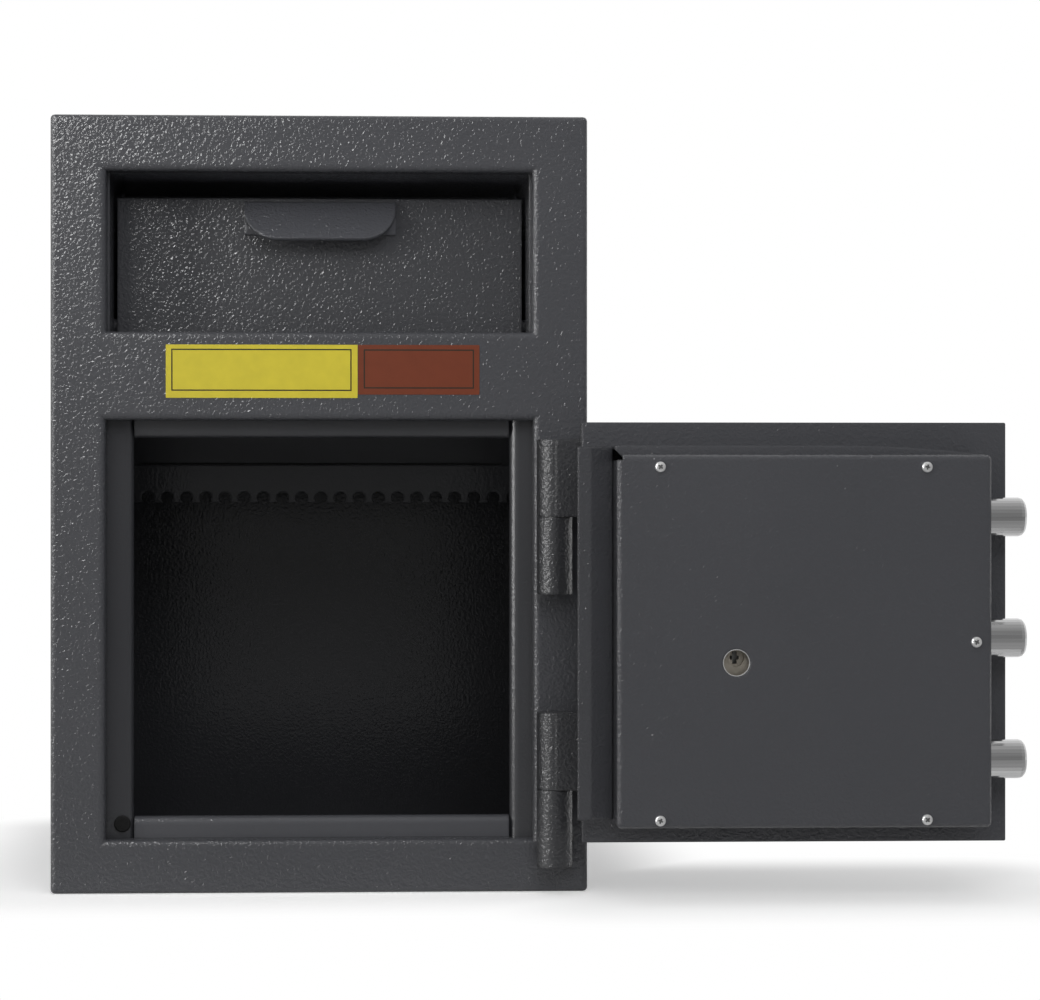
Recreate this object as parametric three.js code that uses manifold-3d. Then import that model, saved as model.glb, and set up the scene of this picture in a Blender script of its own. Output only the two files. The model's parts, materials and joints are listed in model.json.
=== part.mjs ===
// A front-loading drop safe with a tilting deposit drawer over a compartment with a swinging door.
// Millimetres. +X is to the right, +Y goes into the safe and +Z is up. The origin is the centre of the base.
// Inside the file Y counts from the front of the case, and the door is drawn shut and swung open at the end.
import * as THREE from 'three';
import { mergeVertices } from 'three/addons/utils/BufferGeometryUtils.js';
import Module from 'manifold-3d';

const wasm = await Module();
wasm.setup();

// Case
const caseWidth = 353;
const caseHeight = 511.3;
const caseDepth = 355.6;
const caseSheet = 3;
const caseEdgeRadius = 2.8;
const anchorRadius = 6.5;
const anchorSpacingX = 220;
const anchorSpacingY = 200;

// Windows in the front, set in from the case's edges
const headBorder = 36.8;
const drawerWindowBorder = 36.5;
const drawerWindowHeight = 105.5;
const middleRail = 58.2;
const doorWindowBorder = 36;
const footBorder = 35;
const windowFlangeDepth = 15.5;
const windowBendRadius = 4;

// Door stops behind the lower window
const stopSheet = 3;
const stopRollRadius = 5.5;
const stopLap = 5;
const latchStopWidth = 17.5;
const hingeStopWidth = 14.5;
const topStopWidth = 11.5;
const bottomStopWidth = 14;
const bumperRadius = 5.5;
const bumperThickness = 2.3;
const bumperRim = 0.8;
const bumperFromSide = 10.1;
const bumperFromBottom = 9.3;

// Drawer recess, in heights above and below the upper window's lower edge
const recessSheet = 2.5;
const recessInset = 1.2;
const recessDrop = 51;
const recessTail = 14;
const hoodRise = 39;
const hoodGap = 4.7;
const hoodSheet = 2;
const sillSheet = 2;
const sillDepth = 44;
const sillDrop = 16;

// Deposit chute, in depths below the lower window's upper edge
const chuteSheet = 2;
const chuteFront = 30;
const chuteFrontDrop = 10.3;
const chuteRear = 200;
const chuteFall = 17.5;
const combDepth = 26.5;
const combPitch = 14;
const combNotchRadius = 4.6;
const combNotchRise = 3.5;

// Deposit drawer
const drawerPivotDepth = 58;
const drawerPivotRise = 7;
const drawerTravelAngle = THREE.MathUtils.degToRad(45);
const drawerFloorAngle = THREE.MathUtils.degToRad(-24);
const drawerFace = 47;
const drawerFaceSheet = 3;
const drawerFaceGap = 3.8;
const drawerFaceGapBelow = 1.5;
const drawerFaceGapAbove = 13;
const drawerSideSheet = 2;
const drawerSideInset = 2.2;
const drawerSideProud = 4.5;
const drawerFloorProud = 2;
const drawerFloorSheet = 2;
const pivotRadius = 5;
const pivotHeadRadius = 9;
const pivotHead = 4;
const stopPinRadius = 4;
const stopPinHeadRadius = 7;
const stopPinHead = 3;
const stopPinFromEdge = 20;
const stopPinAngle = THREE.MathUtils.degToRad(70);
const pullWidth = 102;
const pullBaseHeight = 22;
const pullBaseSheet = 2;
const pullTopDrop = 2.5;
const pullReach = 20;
const pullDrop = 26;
const pullSheet = 2.5;
const pullCornerWidth = 22;
const pullCornerHeight = 26;

// Hinges: the joints between the knuckles lie at these distances from the window's upper and lower edges
const hingeOutset = 13.15;
const hingeStandOff = 12.5;
const knuckleRadius = 11.7;
const upperJointDrop = 63.7;
const lowerJointRise = 33.9;
const knuckleShare = 0.2825;
const knuckleCap = 14.3;
const knuckleWebWidth = 12;
const hingePinRadius = 6;
const hingeLeafSheet = 6;
const hingeLeafReach = 37;

// Door
const doorThickness = 12.7;
const doorGapHinge = 2.5;
const doorGapLatch = 2.6;
const doorGapBottom = 2;
const doorGapTop = 2.3;
const doorCornerRadius = 1;
const doorSwing = Math.PI;

// Dead bar along the hinge side of the door
const deadBarSheet = 2.5;
const deadBarLipRise = 21;
const deadBarLipWidth = 8;
const deadBarOverhang = 4.8;
const deadBarShoulderRise = 14.5;
const deadBarFoot = 15.8;
const deadBarFromBottom = 17;
const deadBarFromTop = 16.1;

// Sheet walls round the boltwork, set in from the door's edges
const boxSheet = 2.5;
const boxTopDepth = 30;
const boxTopFlange = 8.3;
const boxTopCorner = 5.5;
const boxFromTop = 15.5;
const boxTopFall = 6;
const boxTopBow = 92.8;
const boxFromBottom = 24;
const guideWallSheet = 3;
const guideWallInset = 1.5;
const guideWallFromBottom = 17;

// Cover over the boltwork
const coverSheet = 1.5;
const coverRise = 39;
const coverFromHingeEdge = 18.7;
const coverFromLatchEdge = 17.9;
const coverFromBottom = 13.2;
const coverFromTop = 21.4;
const coverBendRadius = 3;
const coverHingeFlange = 33;
const coverTopFlange = 8.5;
const coverCornerRelief = 3.6;
const coverHoleRadius = 8.65;
const coverHoleFromDial = 17.1;
const postRadius = 3.4;
const coverScrewHeadRadius = 3.4;
const coverScrewHead = 2.3;
const coverScrewRim = 0.9;
const coverScrewCrownRadius = 2.4;
const coverScrewCrown = 0.35;
const coverScrewRadius = 2;
const coverScrewLength = 9;
const coverScrewFromTop = 7.9;
const coverScrewFromBottom = 5.2;
const coverScrewFromHingeSide = 27.5;
const coverScrewFromLatchSide = 41.8;
const lugSheet = 1.1;
const lugWidth = 14;
const lugReach = 13;
const lugScrewReach = 5.8;
const lugBelowBolt = 2;

// Boltwork
const boltRadius = 12.5;
const boltNoseRadius = 4;
const boltAxisRise = 23.3;
const boltFromWallBottom = 38.5;
const boltFromWallTop = 36.7;
const boltProjection = 24;
const boltTravel = 25;
const boltBarSheet = 3;
const boltBarRise = 10;
const boltBarFlange = 24;
const boltBarWidth = 22.5;
const boltBarEnd = 22;
const barTabWidth = 44;
const barTabHeight = 18;
const guidePostReach = 35;
const guidePostRadius = 4;
const guidePostHeadRadius = 7;
const guidePostHead = 2.5;
const tenonRadius = 6;
const tenonHeadRadius = 8.5;
const tenonHead = 2.5;

// Handle
const handleFromMiddle = 36.75;
const handleBelowMiddle = 17.55;
const handleSpindleRadius = 6;
const leverLength = 82;
const leverHubRadius = 11;
const leverHubLength = 22;
const leverTipRadius = 6;
const leverStandOff = 11;
const leverThickness = 10;
const leverBevel = 2;
const roseRadius = 17;
const roseThickness = 5;
const roseBevel = 1.5;
const camRadius = 22;
const camRise = 3.5;
const camThickness = 5;
const camNotchDepth = 10;
const camNotchWidth = 24;
const crankPinRadius = 4;
const crankPinLength = 8;
const crankSlotClearance = 0.7;

// Combination lock
const dialFromHandle = 63;
const dialRingRadius = 41.3;
const dialRingThickness = 7;
const dialRingBase = 2;
const dialRingRim = 3;
const dialEdge = 2.7;
const dialRise = 2.5;
const dialKnobRadius = 15;
const dialKnobFoot = 3;
const dialKnobLength = 19;
const dialKnobBevel = 1.5;
const dialFluteCount = 24;
const dialFluteRadius = 1.2;
const dialSpindleRadius = 4;
const hardPlateSheet = 3;
const hardPlateMargin = 4;
const lockWidth = 76;
const lockHeight = 60;
const lockEndFromDial = 35;
const lockCaseDepth = 24;
const lockBackDepth = 5;
const lockCornerRadius = 4;
const lockChamberRadius = 22;
const lockChamberDepth = 19;
const wheelRadius = 18;
const wheelThickness = 2.2;
const wheelPitch = 3.6;
const wheelCount = 3;
const wheelGateWidth = 5;
const wheelGateDepth = 5;
const wheelPostRadius = 6;
const wheelHubRadius = 9;
const driveCamThickness = 3;
const lockBoltHeight = 22;
const lockBoltThickness = 8;
const lockBoltLength = 12;
const lockBoltFloor = 1;
const lockCupRadius = 5.8;
const lockCupDepth = 2.5;
const lockCupRise = 2.8;
const keySlotWidth = 3;
const keySlotHeight = 8;
const keySlotArm = 5.6;
const keySlotArmHeight = 2.6;
const lockScrewHeadRadius = 3;
const lockScrewHead = 2;
const lockScrewRadius = 2;
const lockScrewLength = 13;
const lockScrewInset = 7;

// Gap left between pieces that run, slide or are fitted into one another
const runningGap = 0.3;
// Cuts run past the faces that they open by this much
const overrun = 5;

const drawerWindow = {
  left: -caseWidth / 2 + drawerWindowBorder,
  right: caseWidth / 2 - drawerWindowBorder,
  bottom: caseHeight - headBorder - drawerWindowHeight,
  top: caseHeight - headBorder,
};
const doorWindow = {
  left: -caseWidth / 2 + doorWindowBorder,
  right: caseWidth / 2 - doorWindowBorder,
  bottom: footBorder,
  top: drawerWindow.bottom - middleRail,
};

// The shut door's edges in X and Z, and the Y of a point that stands above the door's inner face
const door = {
  latch: doorWindow.left + doorGapLatch,
  hinge: doorWindow.right - doorGapHinge,
  bottom: doorWindow.bottom + doorGapBottom,
  top: doorWindow.top - doorGapTop,
};
const onDoor = (rise) => doorThickness + rise;

// Handle, dial and lock keep together about the door's middle
const handleX = (door.latch + door.hinge) / 2 - handleFromMiddle;
const handleHeight = (door.bottom + door.top) / 2 - handleBelowMiddle;
const dialX = handleX + dialFromHandle;
const dialHeight = handleHeight;
const lockEnd = dialX - lockEndFromDial;
const lockRise = hardPlateSheet;

const cover = {
  hinge: door.hinge - coverFromHingeEdge,
  latch: door.latch + coverFromLatchEdge,
  bottom: door.bottom + coverFromBottom,
  top: door.top - coverFromTop,
};
const box = {
  bottom: door.bottom + boxFromBottom,
  top: door.top - boxFromTop,
};
const guideWall = {
  outer: cover.latch + guideWallInset,
  inner: cover.latch + guideWallInset + guideWallSheet,
  bottom: door.bottom + guideWallFromBottom,
  top: box.top - boxTopFall - boxSheet - runningGap,
};

const crankThrow = boltTravel / 2;
const boltBarX = handleX - crankThrow - boltBarWidth / 2;
const boltTip = cover.latch - boltProjection;
const boltRear = boltBarX - boltBarSheet;
const outerBolts = [guideWall.bottom + boltFromWallBottom, guideWall.top - boltFromWallTop];
const middleBolt = (outerBolts[0] + outerBolts[1]) / 2;
const boltHeights = [outerBolts[0], middleBolt, outerBolts[1]];

const paint = finish(0x45464b, 0.55, 0.35);
const plainSteel = finish(0x8f8f8d, 0.4, 0.85);
const chrome = finish(0xd8dadd, 0.15, 1);
const castZinc = finish(0x9c9488, 0.5, 0.7);
const rubber = finish(0x18181a, 0.9, 0);
const dialBlack = finish(0x1b1b1d, 0.45, 0.1);

function finish(color, roughness, metalness) {
  return new THREE.MeshStandardMaterial({ color, roughness, metalness });
}

// A closed geometry as a solid that can be cut and joined
function solid(geometry) {
  const bare = geometry.clone();
  bare.deleteAttribute('normal');
  bare.deleteAttribute('uv');
  const merged = mergeVertices(bare);
  const corners = merged.index.array;
  const triangles = [];
  for (let i = 0; i < corners.length; i += 3) {
    const [a, b, c] = corners.slice(i, i + 3);
    if (a !== b && b !== c && c !== a) triangles.push(a, b, c);
  }
  return new wasm.Manifold(new wasm.Mesh({
    numProp: 3,
    vertProperties: Float32Array.from(merged.attributes.position.array),
    triVerts: Uint32Array.from(triangles),
  }));
}

function geometryOf(body) {
  const mesh = body.getMesh();
  const geometry = new THREE.BufferGeometry();
  geometry.setAttribute('position', new THREE.Float32BufferAttribute(mesh.vertProperties, 3));
  geometry.setIndex([...mesh.triVerts]);
  geometry.computeVertexNormals();
  return geometry;
}

function join(...bodies) {
  return bodies.reduce((whole, body) => whole.add(body));
}

function cut(whole, ...tools) {
  return tools.reduce((rest, tool) => rest.subtract(tool), whole);
}

function addPiece(group, name, body, material) {
  const mesh = new THREE.Mesh(geometryOf(body), material);
  mesh.name = name;
  group.add(mesh);
}

function block([x0, x1], [y0, y1], [z0, z1]) {
  const geometry = new THREE.BoxGeometry(x1 - x0, y1 - y0, z1 - z0);
  return solid(geometry.translate((x0 + x1) / 2, (y0 + y1) / 2, (z0 + z1) / 2));
}

// The range of a given width about a middle
function about(middle, width) {
  return [middle - width / 2, middle + width / 2];
}

function shapeOf(points) {
  return new THREE.Shape(points.map(([u, v]) => new THREE.Vector2(u, v)));
}

function withHoles(shape, ...holes) {
  shape.holes = holes.map((points) => shapeOf(points));
  return shape;
}

function arc([centreU, centreV], radius, from, to, steps) {
  const points = [];
  for (let step = 0; step <= steps; step += 1) {
    const angle = from + ((to - from) * step) / steps;
    points.push([centreU + radius * Math.cos(angle), centreV + radius * Math.sin(angle)]);
  }
  return points;
}

function circle(centre, radius, steps = 24) {
  return arc(centre, radius, 0, 2 * Math.PI, steps).slice(0, steps);
}

function rectangle([left, right], [low, high]) {
  return [[left, low], [right, low], [right, high], [left, high]];
}

function roundedRectangle([left, right], [low, high], radius, steps = 3) {
  const quarter = Math.PI / 2;
  return [
    ...arc([left + radius, low + radius], radius, 2 * quarter, 3 * quarter, steps),
    ...arc([right - radius, low + radius], radius, 3 * quarter, 4 * quarter, steps),
    ...arc([right - radius, high - radius], radius, 0, quarter, steps),
    ...arc([left + radius, high - radius], radius, quarter, 2 * quarter, steps),
  ];
}

// A slot with round ends, from one end's centre to the other's along U
function slot([from, to], centreV, radius, steps = 6) {
  const quarter = Math.PI / 2;
  return [
    ...arc([to, centreV], radius, -quarter, quarter, steps),
    ...arc([from, centreV], radius, quarter, 3 * quarter, steps),
  ];
}

// The outline of a bent sheet: a path and the same path set off to its right
function bentSheet(path, thickness) {
  const directions = path.slice(1).map((point, i) => {
    const run = [point[0] - path[i][0], point[1] - path[i][1]];
    const length = Math.hypot(...run);
    return [run[0] / length, run[1] / length];
  });
  const offset = path.map((point, i) => {
    const before = directions[Math.max(i - 1, 0)];
    const after = directions[Math.min(i, directions.length - 1)];
    const sum = [before[1] + after[1], -before[0] - after[0]];
    const scale = (2 * thickness) / (sum[0] ** 2 + sum[1] ** 2);
    return [point[0] + sum[0] * scale, point[1] + sum[1] * scale];
  });
  return [...path, ...offset.reverse()];
}

function extruded(shape, length, bevel = 0) {
  return new THREE.ExtrudeGeometry(shape, {
    depth: length - 2 * bevel,
    bevelEnabled: bevel > 0,
    bevelThickness: bevel,
    bevelSize: bevel,
    bevelOffset: -bevel,
    bevelSegments: 2,
  }).translate(0, 0, bevel);
}

// A shape in X and Y, extruded up Z
function upward(shape, [z0, z1]) {
  return solid(extruded(shape, z1 - z0).translate(0, 0, z0));
}

// A shape in X and Z, extruded back along Y
function backward(shape, [y0, y1], bevel = 0) {
  return solid(extruded(shape, y1 - y0, bevel).rotateX(Math.PI / 2).translate(0, y1, 0));
}

// A shape in Y and Z, extruded across X
function across(shape, [x0, x1]) {
  const turn = new THREE.Matrix4().makeBasis(
    new THREE.Vector3(0, 1, 0),
    new THREE.Vector3(0, 0, 1),
    new THREE.Vector3(1, 0, 0),
  );
  return solid(extruded(shape, x1 - x0).applyMatrix4(turn).translate(x0, 0, 0));
}

// Lathe bodies: pairs of radius and height, from the axis out, up and back, or a closed ring.
// The heights run up Z, back along Y, forward against Y, right along X or left against X.
const latheTurns = {
  up: new THREE.Matrix4().makeRotationX(Math.PI / 2),
  back: new THREE.Matrix4(),
  forward: new THREE.Matrix4().makeRotationX(Math.PI),
  right: new THREE.Matrix4().makeRotationZ(-Math.PI / 2),
  left: new THREE.Matrix4().makeRotationZ(Math.PI / 2),
};

function turned(direction, [x, y, z], profile, steps = 32) {
  const points = profile.map(([radius, height]) => new THREE.Vector2(radius, height));
  const geometry = new THREE.LatheGeometry(points, steps);
  return solid(geometry.applyMatrix4(latheTurns[direction]).translate(x, y, z));
}

function rod(direction, base, radius, length, steps) {
  return turned(direction, base, [[0, 0], [radius, 0], [radius, length], [0, length]], steps);
}

function headed(headRadius, head, radius, length) {
  const end = head + length;
  return [[0, 0], [headRadius, 0], [headRadius, head], [radius, head], [radius, end], [0, end]];
}

// Rings of equally many points in X and Z, each behind the one before it, joined into a closed solid
function lofted(rings) {
  const size = rings[0].points.length;
  const positions = rings.flatMap(({ y, points }) => points.flatMap(([x, z]) => [x, y, z]));
  const indices = [];
  for (let i = 0; i < size; i += 1) {
    const next = (i + 1) % size;
    for (let ring = 0; ring + 1 < rings.length; ring += 1) {
      const near = ring * size;
      const far = near + size;
      indices.push(near + i, far + i, far + next, near + i, far + next, near + next);
    }
  }
  const last = (rings.length - 1) * size;
  for (let i = 1; i + 1 < size; i += 1) {
    indices.push(0, i, i + 1, last, last + i + 1, last + i);
  }
  const geometry = new THREE.BufferGeometry();
  geometry.setAttribute('position', new THREE.Float32BufferAttribute(positions, 3));
  geometry.setIndex(indices);
  return solid(geometry);
}

// A slab whose edges round over towards one face. Sense 1 rounds the front face, and -1 the back one.
function roundedSlab([left, right], [low, high], [front, back], radius, sense) {
  const steps = 3;
  const rings = [];
  for (let step = 0; step <= steps; step += 1) {
    const angle = (Math.PI / 2) * (step / steps);
    const inset = radius * (1 - Math.sin(angle));
    const depth = radius * (1 - Math.cos(angle));
    rings.push({
      y: sense > 0 ? front + depth : back - depth,
      points: roundedRectangle([left + inset, right - inset], [low + inset, high - inset], radius - inset),
    });
  }
  const outline = roundedRectangle([left, right], [low, high], radius);
  rings.push({ y: sense > 0 ? back : front, points: outline });
  return lofted(sense > 0 ? rings : rings.reverse());
}

// Case

function caseWrap() {
  const outline = (inset) => [
    [-caseWidth / 2 + inset, caseWidth / 2 - inset],
    [inset, caseHeight - inset],
  ];
  const shape = withHoles(
    shapeOf(roundedRectangle(...outline(0), caseEdgeRadius)),
    rectangle(...outline(caseSheet)),
  );
  const wrap = backward(shape, [caseSheet, caseDepth - caseSheet]);
  const anchors = [];
  for (const x of about(0, anchorSpacingX)) {
    for (const y of about(caseDepth / 2, anchorSpacingY)) {
      anchors.push(rod('up', [x, y, -overrun], anchorRadius, caseSheet + 2 * overrun, 24));
    }
  }
  return cut(wrap, ...anchors);
}

function casePanel([front, back], sense) {
  const sides = [-caseWidth / 2, caseWidth / 2];
  return roundedSlab(sides, [0, caseHeight], [front, back], caseEdgeRadius, sense);
}

// The rolled edge round a window: the profile's first size points away from the opening, its second back
function windowSurround(window) {
  const bend = windowBendRadius;
  const lap = bend + caseSheet;
  const profile = [
    [lap, 0],
    [lap, caseSheet],
    [bend, caseSheet],
    [caseSheet, bend],
    [caseSheet, windowFlangeDepth],
    [0, windowFlangeDepth],
    ...arc([bend, bend], bend, Math.PI, 1.5 * Math.PI, 4),
  ];
  const corners = [
    [window.left, window.bottom, -1, -1],
    [window.right, window.bottom, 1, -1],
    [window.right, window.top, 1, 1],
    [window.left, window.top, -1, 1],
  ];
  const positions = corners.flatMap(([x, z, outX, outZ]) => (
    profile.flatMap(([out, back]) => [x + outX * out, back, z + outZ * out])
  ));
  const size = profile.length;
  const indices = [];
  for (let corner = 0; corner < corners.length; corner += 1) {
    const near = corner * size;
    const far = ((corner + 1) % corners.length) * size;
    for (let i = 0; i < size; i += 1) {
      const next = (i + 1) % size;
      indices.push(near + i, near + next, far + next, near + i, far + next, far + i);
    }
  }
  const geometry = new THREE.BufferGeometry();
  geometry.setAttribute('position', new THREE.Float32BufferAttribute(positions, 3));
  geometry.setIndex(indices);
  return solid(geometry);
}

function frontFrame() {
  const windows = [drawerWindow, doorWindow];
  const holes = windows.map((window) => block(
    [window.left - windowBendRadius, window.right + windowBendRadius],
    [-overrun, caseSheet + overrun],
    [window.bottom - windowBendRadius, window.top + windowBendRadius],
  ));
  return join(cut(casePanel([0, caseSheet], 1), ...holes), ...windows.map(windowSurround));
}

// Door stops: the profile's first size runs from the window's edge into the opening, its second back

function stopProfile(width) {
  const centre = [width - stopRollRadius, windowFlangeDepth + stopRollRadius];
  return [
    [-stopLap, windowFlangeDepth],
    ...arc(centre, stopRollRadius, -Math.PI / 2, 0, 4),
    ...arc(centre, stopRollRadius - stopSheet, 0, -Math.PI / 2, 2),
    [-stopLap, windowFlangeDepth + stopSheet],
  ];
}

function uprightStop(width, place) {
  const outline = stopProfile(width).map(([into, y]) => [place(into), y]);
  return upward(shapeOf(outline), [doorWindow.bottom - stopLap, doorWindow.top + stopLap]);
}

function railStop(width, place) {
  const outline = stopProfile(width).map(([into, y]) => [y, place(into)]);
  return across(shapeOf(outline), [
    doorWindow.left + latchStopWidth + runningGap,
    doorWindow.right - hingeStopWidth - runningGap,
  ]);
}

function cornerBumper() {
  const place = [doorWindow.left + bumperFromSide, windowFlangeDepth, doorWindow.bottom + bumperFromBottom];
  return turned('forward', place, [
    [0, 0],
    [bumperRadius, 0],
    [bumperRadius, bumperThickness - bumperRim],
    [bumperRadius - bumperRim, bumperThickness],
    [0, bumperThickness],
  ], 20);
}

// Drawer recess and chute

const drawerPivotHeight = drawerWindow.bottom + drawerPivotRise;
const drawerFaceRange = [drawerWindow.bottom + drawerFaceGapBelow, drawerWindow.top - drawerFaceGapAbove];
const drawerSideRadius = drawerFaceRange[1] - drawerPivotHeight + drawerSideProud;
const drawerFloorRadius = drawerSideRadius + drawerFloorProud;
const stopPinOrbit = drawerSideRadius - stopPinFromEdge;

// The hood clears the circle that the drawer floor's rear edge swings on
const hoodBottom = drawerWindow.bottom + hoodRise;
const floorSwing = Math.sqrt(drawerFloorRadius ** 2 - (hoodBottom - drawerPivotHeight) ** 2);
const hoodFront = drawerPivotDepth + floorSwing + hoodGap;
const recessDepth = hoodFront + hoodSheet + recessTail;
const recessTop = drawerWindow.top + recessSheet;
const recessHalf = drawerWindow.right - recessInset;

function recessSide(side) {
  const inner = side * recessHalf;
  const outer = inner + side * recessSheet;
  const hole = (centre, radius) => circle(centre, radius + runningGap, 20);
  const shape = withHoles(
    shapeOf(rectangle([windowFlangeDepth, recessDepth], [drawerWindow.bottom - recessDrop, recessTop])),
    hole([drawerPivotDepth, drawerPivotHeight], pivotRadius),
    hole(stopPinPlace(), stopPinRadius),
  );
  return across(shape, [Math.min(inner, outer), Math.max(inner, outer)]);
}

function recessCeiling() {
  return block(
    [-recessHalf, recessHalf],
    [windowFlangeDepth, recessDepth],
    [drawerWindow.top, recessTop],
  );
}

function recessHood() {
  return block(
    [-recessHalf, recessHalf],
    [hoodFront, hoodFront + hoodSheet],
    [hoodBottom, drawerWindow.top],
  );
}

function recessSill() {
  const outline = bentSheet([
    [windowFlangeDepth, drawerWindow.bottom],
    [sillDepth, drawerWindow.bottom],
    [sillDepth, drawerWindow.bottom - sillDrop],
  ], sillSheet);
  return across(shapeOf(outline), [-recessHalf, recessHalf]);
}

const chuteFrontHeight = doorWindow.top - chuteFrontDrop;
const chuteRearHeight = chuteFrontHeight - chuteFall;
const combBottom = chuteRearHeight - combDepth;

// The comb's lower edge, cut by round notches that are open below
function combOutline(left, right) {
  const count = Math.floor((right - left) / combPitch) - 1;
  const first = (left + right) / 2 - ((count - 1) * combPitch) / 2;
  const dip = Math.asin(combNotchRise / combNotchRadius);
  const notches = [];
  for (let i = 0; i < count; i += 1) {
    const centre = [first + i * combPitch, combBottom + combNotchRise];
    notches.push(...arc(centre, combNotchRadius, Math.PI + dip, -dip, 7));
  }
  const top = chuteRearHeight + chuteSheet;
  return [[left, combBottom], ...notches, [right, combBottom], [right, top], [left, top]];
}

function chuteWithComb() {
  const half = caseWidth / 2 - caseSheet - runningGap;
  const slope = across(shapeOf([
    [chuteFront, chuteFrontHeight],
    [chuteRear, chuteRearHeight],
    [chuteRear, chuteRearHeight + chuteSheet],
    [chuteFront, chuteFrontHeight + chuteSheet],
  ]), [-half, half]);
  const comb = backward(shapeOf(combOutline(-half, half)), [chuteRear - chuteSheet, chuteRear]);
  return join(slope, comb);
}

// Deposit drawer: side -1 is left and 1 is right

const drawerHalf = drawerWindow.right - drawerFaceGap;
const drawerSideOuter = drawerHalf - drawerSideInset;
const drawerSideInner = drawerSideOuter - drawerSideSheet;
const drawerBack = drawerFace + drawerFaceSheet;
const drawerPivot = [drawerPivotDepth, drawerPivotHeight];

function stopPinPlace() {
  return [
    drawerPivotDepth + stopPinOrbit * Math.cos(stopPinAngle),
    drawerPivotHeight + stopPinOrbit * Math.sin(stopPinAngle),
  ];
}

// The point of the floor's lower face at a given distance from the pivot
function floorPoint(radius) {
  const start = [drawerBack, drawerFaceRange[0]];
  const along = [Math.cos(drawerFloorAngle), Math.sin(drawerFloorAngle)];
  const from = [start[0] - drawerPivotDepth, start[1] - drawerPivotHeight];
  const lean = from[0] * along[0] + from[1] * along[1];
  const reach = Math.sqrt(lean ** 2 - from[0] ** 2 - from[1] ** 2 + radius ** 2) - lean;
  return [start[0] + reach * along[0], start[1] + reach * along[1]];
}

function drawerFacePlate() {
  return block([-drawerHalf, drawerHalf], [drawerFace, drawerBack], drawerFaceRange);
}

function drawerSide(side) {
  const [rearY, rearZ] = floorPoint(drawerSideRadius);
  const lowest = Math.atan2(rearZ - drawerPivotHeight, rearY - drawerPivotDepth);
  const width = stopPinRadius + runningGap;
  const slack = runningGap / stopPinOrbit;
  const slotFrom = stopPinAngle - drawerTravelAngle - slack;
  const slotTo = stopPinAngle + slack;
  const end = (angle) => [
    drawerPivotDepth + stopPinOrbit * Math.cos(angle),
    drawerPivotHeight + stopPinOrbit * Math.sin(angle),
  ];
  const stopSlot = [
    ...arc(drawerPivot, stopPinOrbit + width, slotFrom, slotTo, 8),
    ...arc(end(slotTo), width, slotTo, slotTo + Math.PI, 6).slice(1),
    ...arc(drawerPivot, stopPinOrbit - width, slotTo, slotFrom, 8).slice(1),
    ...arc(end(slotFrom), width, slotFrom + Math.PI, slotFrom + 2 * Math.PI, 6).slice(1, -1),
  ];
  const shape = withHoles(
    shapeOf([
      [drawerBack, drawerFaceRange[0]],
      ...arc(drawerPivot, drawerSideRadius, lowest, Math.PI / 2, 14),
      [drawerBack, drawerFaceRange[1]],
    ]),
    circle(drawerPivot, pivotRadius + runningGap, 20),
    stopSlot,
  );
  const faces = [side * drawerSideInner, side * drawerSideOuter];
  return across(shape, [Math.min(...faces), Math.max(...faces)]);
}

function drawerFloor() {
  const path = [floorPoint(drawerFloorRadius), [drawerBack, drawerFaceRange[0]]];
  const outline = bentSheet(path, drawerFloorSheet);
  const square = outline.map(([y, z]) => [Math.max(y, drawerBack), z]);
  return across(shapeOf(square), [-drawerSideInner, drawerSideInner]);
}

// A base plate on the drawer's face and a lip that leans out from its top, with elliptical lower corners
function drawerPull() {
  const top = drawerFaceRange[1] - pullTopDrop;
  const front = drawerFace - pullBaseSheet;
  const base = block(
    about(0, pullWidth),
    [front, drawerFace],
    [top - pullBaseHeight, top],
  );
  const run = pullReach - pullBaseSheet;
  const length = Math.hypot(run, pullDrop);
  const quarter = Math.PI / 2;
  const corner = (side, from, to) => arc([0, 0], 1, from, to, 8).map(([u, v]) => [
    side * (pullWidth / 2 - pullCornerWidth) + u * pullCornerWidth,
    pullCornerHeight - length + v * pullCornerHeight,
  ]);
  const outline = [
    ...corner(-1, 2 * quarter, 3 * quarter),
    ...corner(1, 3 * quarter, 4 * quarter),
    [pullWidth / 2, 0],
    [-pullWidth / 2, 0],
  ];
  const lip = extruded(shapeOf(outline), pullSheet)
    .rotateX(quarter)
    .translate(0, pullSheet, 0)
    .rotateX(-Math.atan2(run, pullDrop))
    .translate(0, front, top);
  const above = block(
    about(0, pullWidth + overrun),
    [front - pullReach, drawerFace + overrun],
    [top, top + overrun],
  );
  const behind = block(
    about(0, pullWidth + overrun),
    [drawerFace - pullBaseSheet, drawerFace + overrun],
    [top - pullDrop, top + overrun],
  );
  return join(base, cut(solid(lip), above, behind));
}

// Headed pins that go in through the recess sides from outside
function drawerPin(side, [y, z], profile) {
  const seat = recessHalf + recessSheet;
  const head = profile[1];
  const place = [side * (seat + head), y, z];
  const reach = seat - drawerSideInner;
  return turned(side > 0 ? 'left' : 'right', place, headed(profile[0], head, profile[2], reach), 24);
}

// Hinges

const hingeHeights = { upper: doorWindow.top - upperJointDrop, lower: doorWindow.bottom + lowerJointRise };
const hingeX = doorWindow.right + hingeOutset;
const hingeAxis = [hingeX, -hingeStandOff];
const knuckleLength = knuckleShare * (hingeHeights.upper - hingeHeights.lower);
const hingePinReach = knuckleLength - knuckleCap;

function bore(from, length) {
  return rod('up', [...hingeAxis, from], hingePinRadius + runningGap, length, 24);
}

function caseKnuckle(joint) {
  const range = [joint - knuckleLength, joint];
  const barrel = rod('up', [...hingeAxis, range[0]], knuckleRadius, knuckleLength, 36);
  const web = block(about(hingeX, knuckleWebWidth), [-hingeStandOff, 0], range);
  return cut(join(barrel, web), bore(joint - hingePinReach, hingePinReach + overrun));
}

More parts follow.
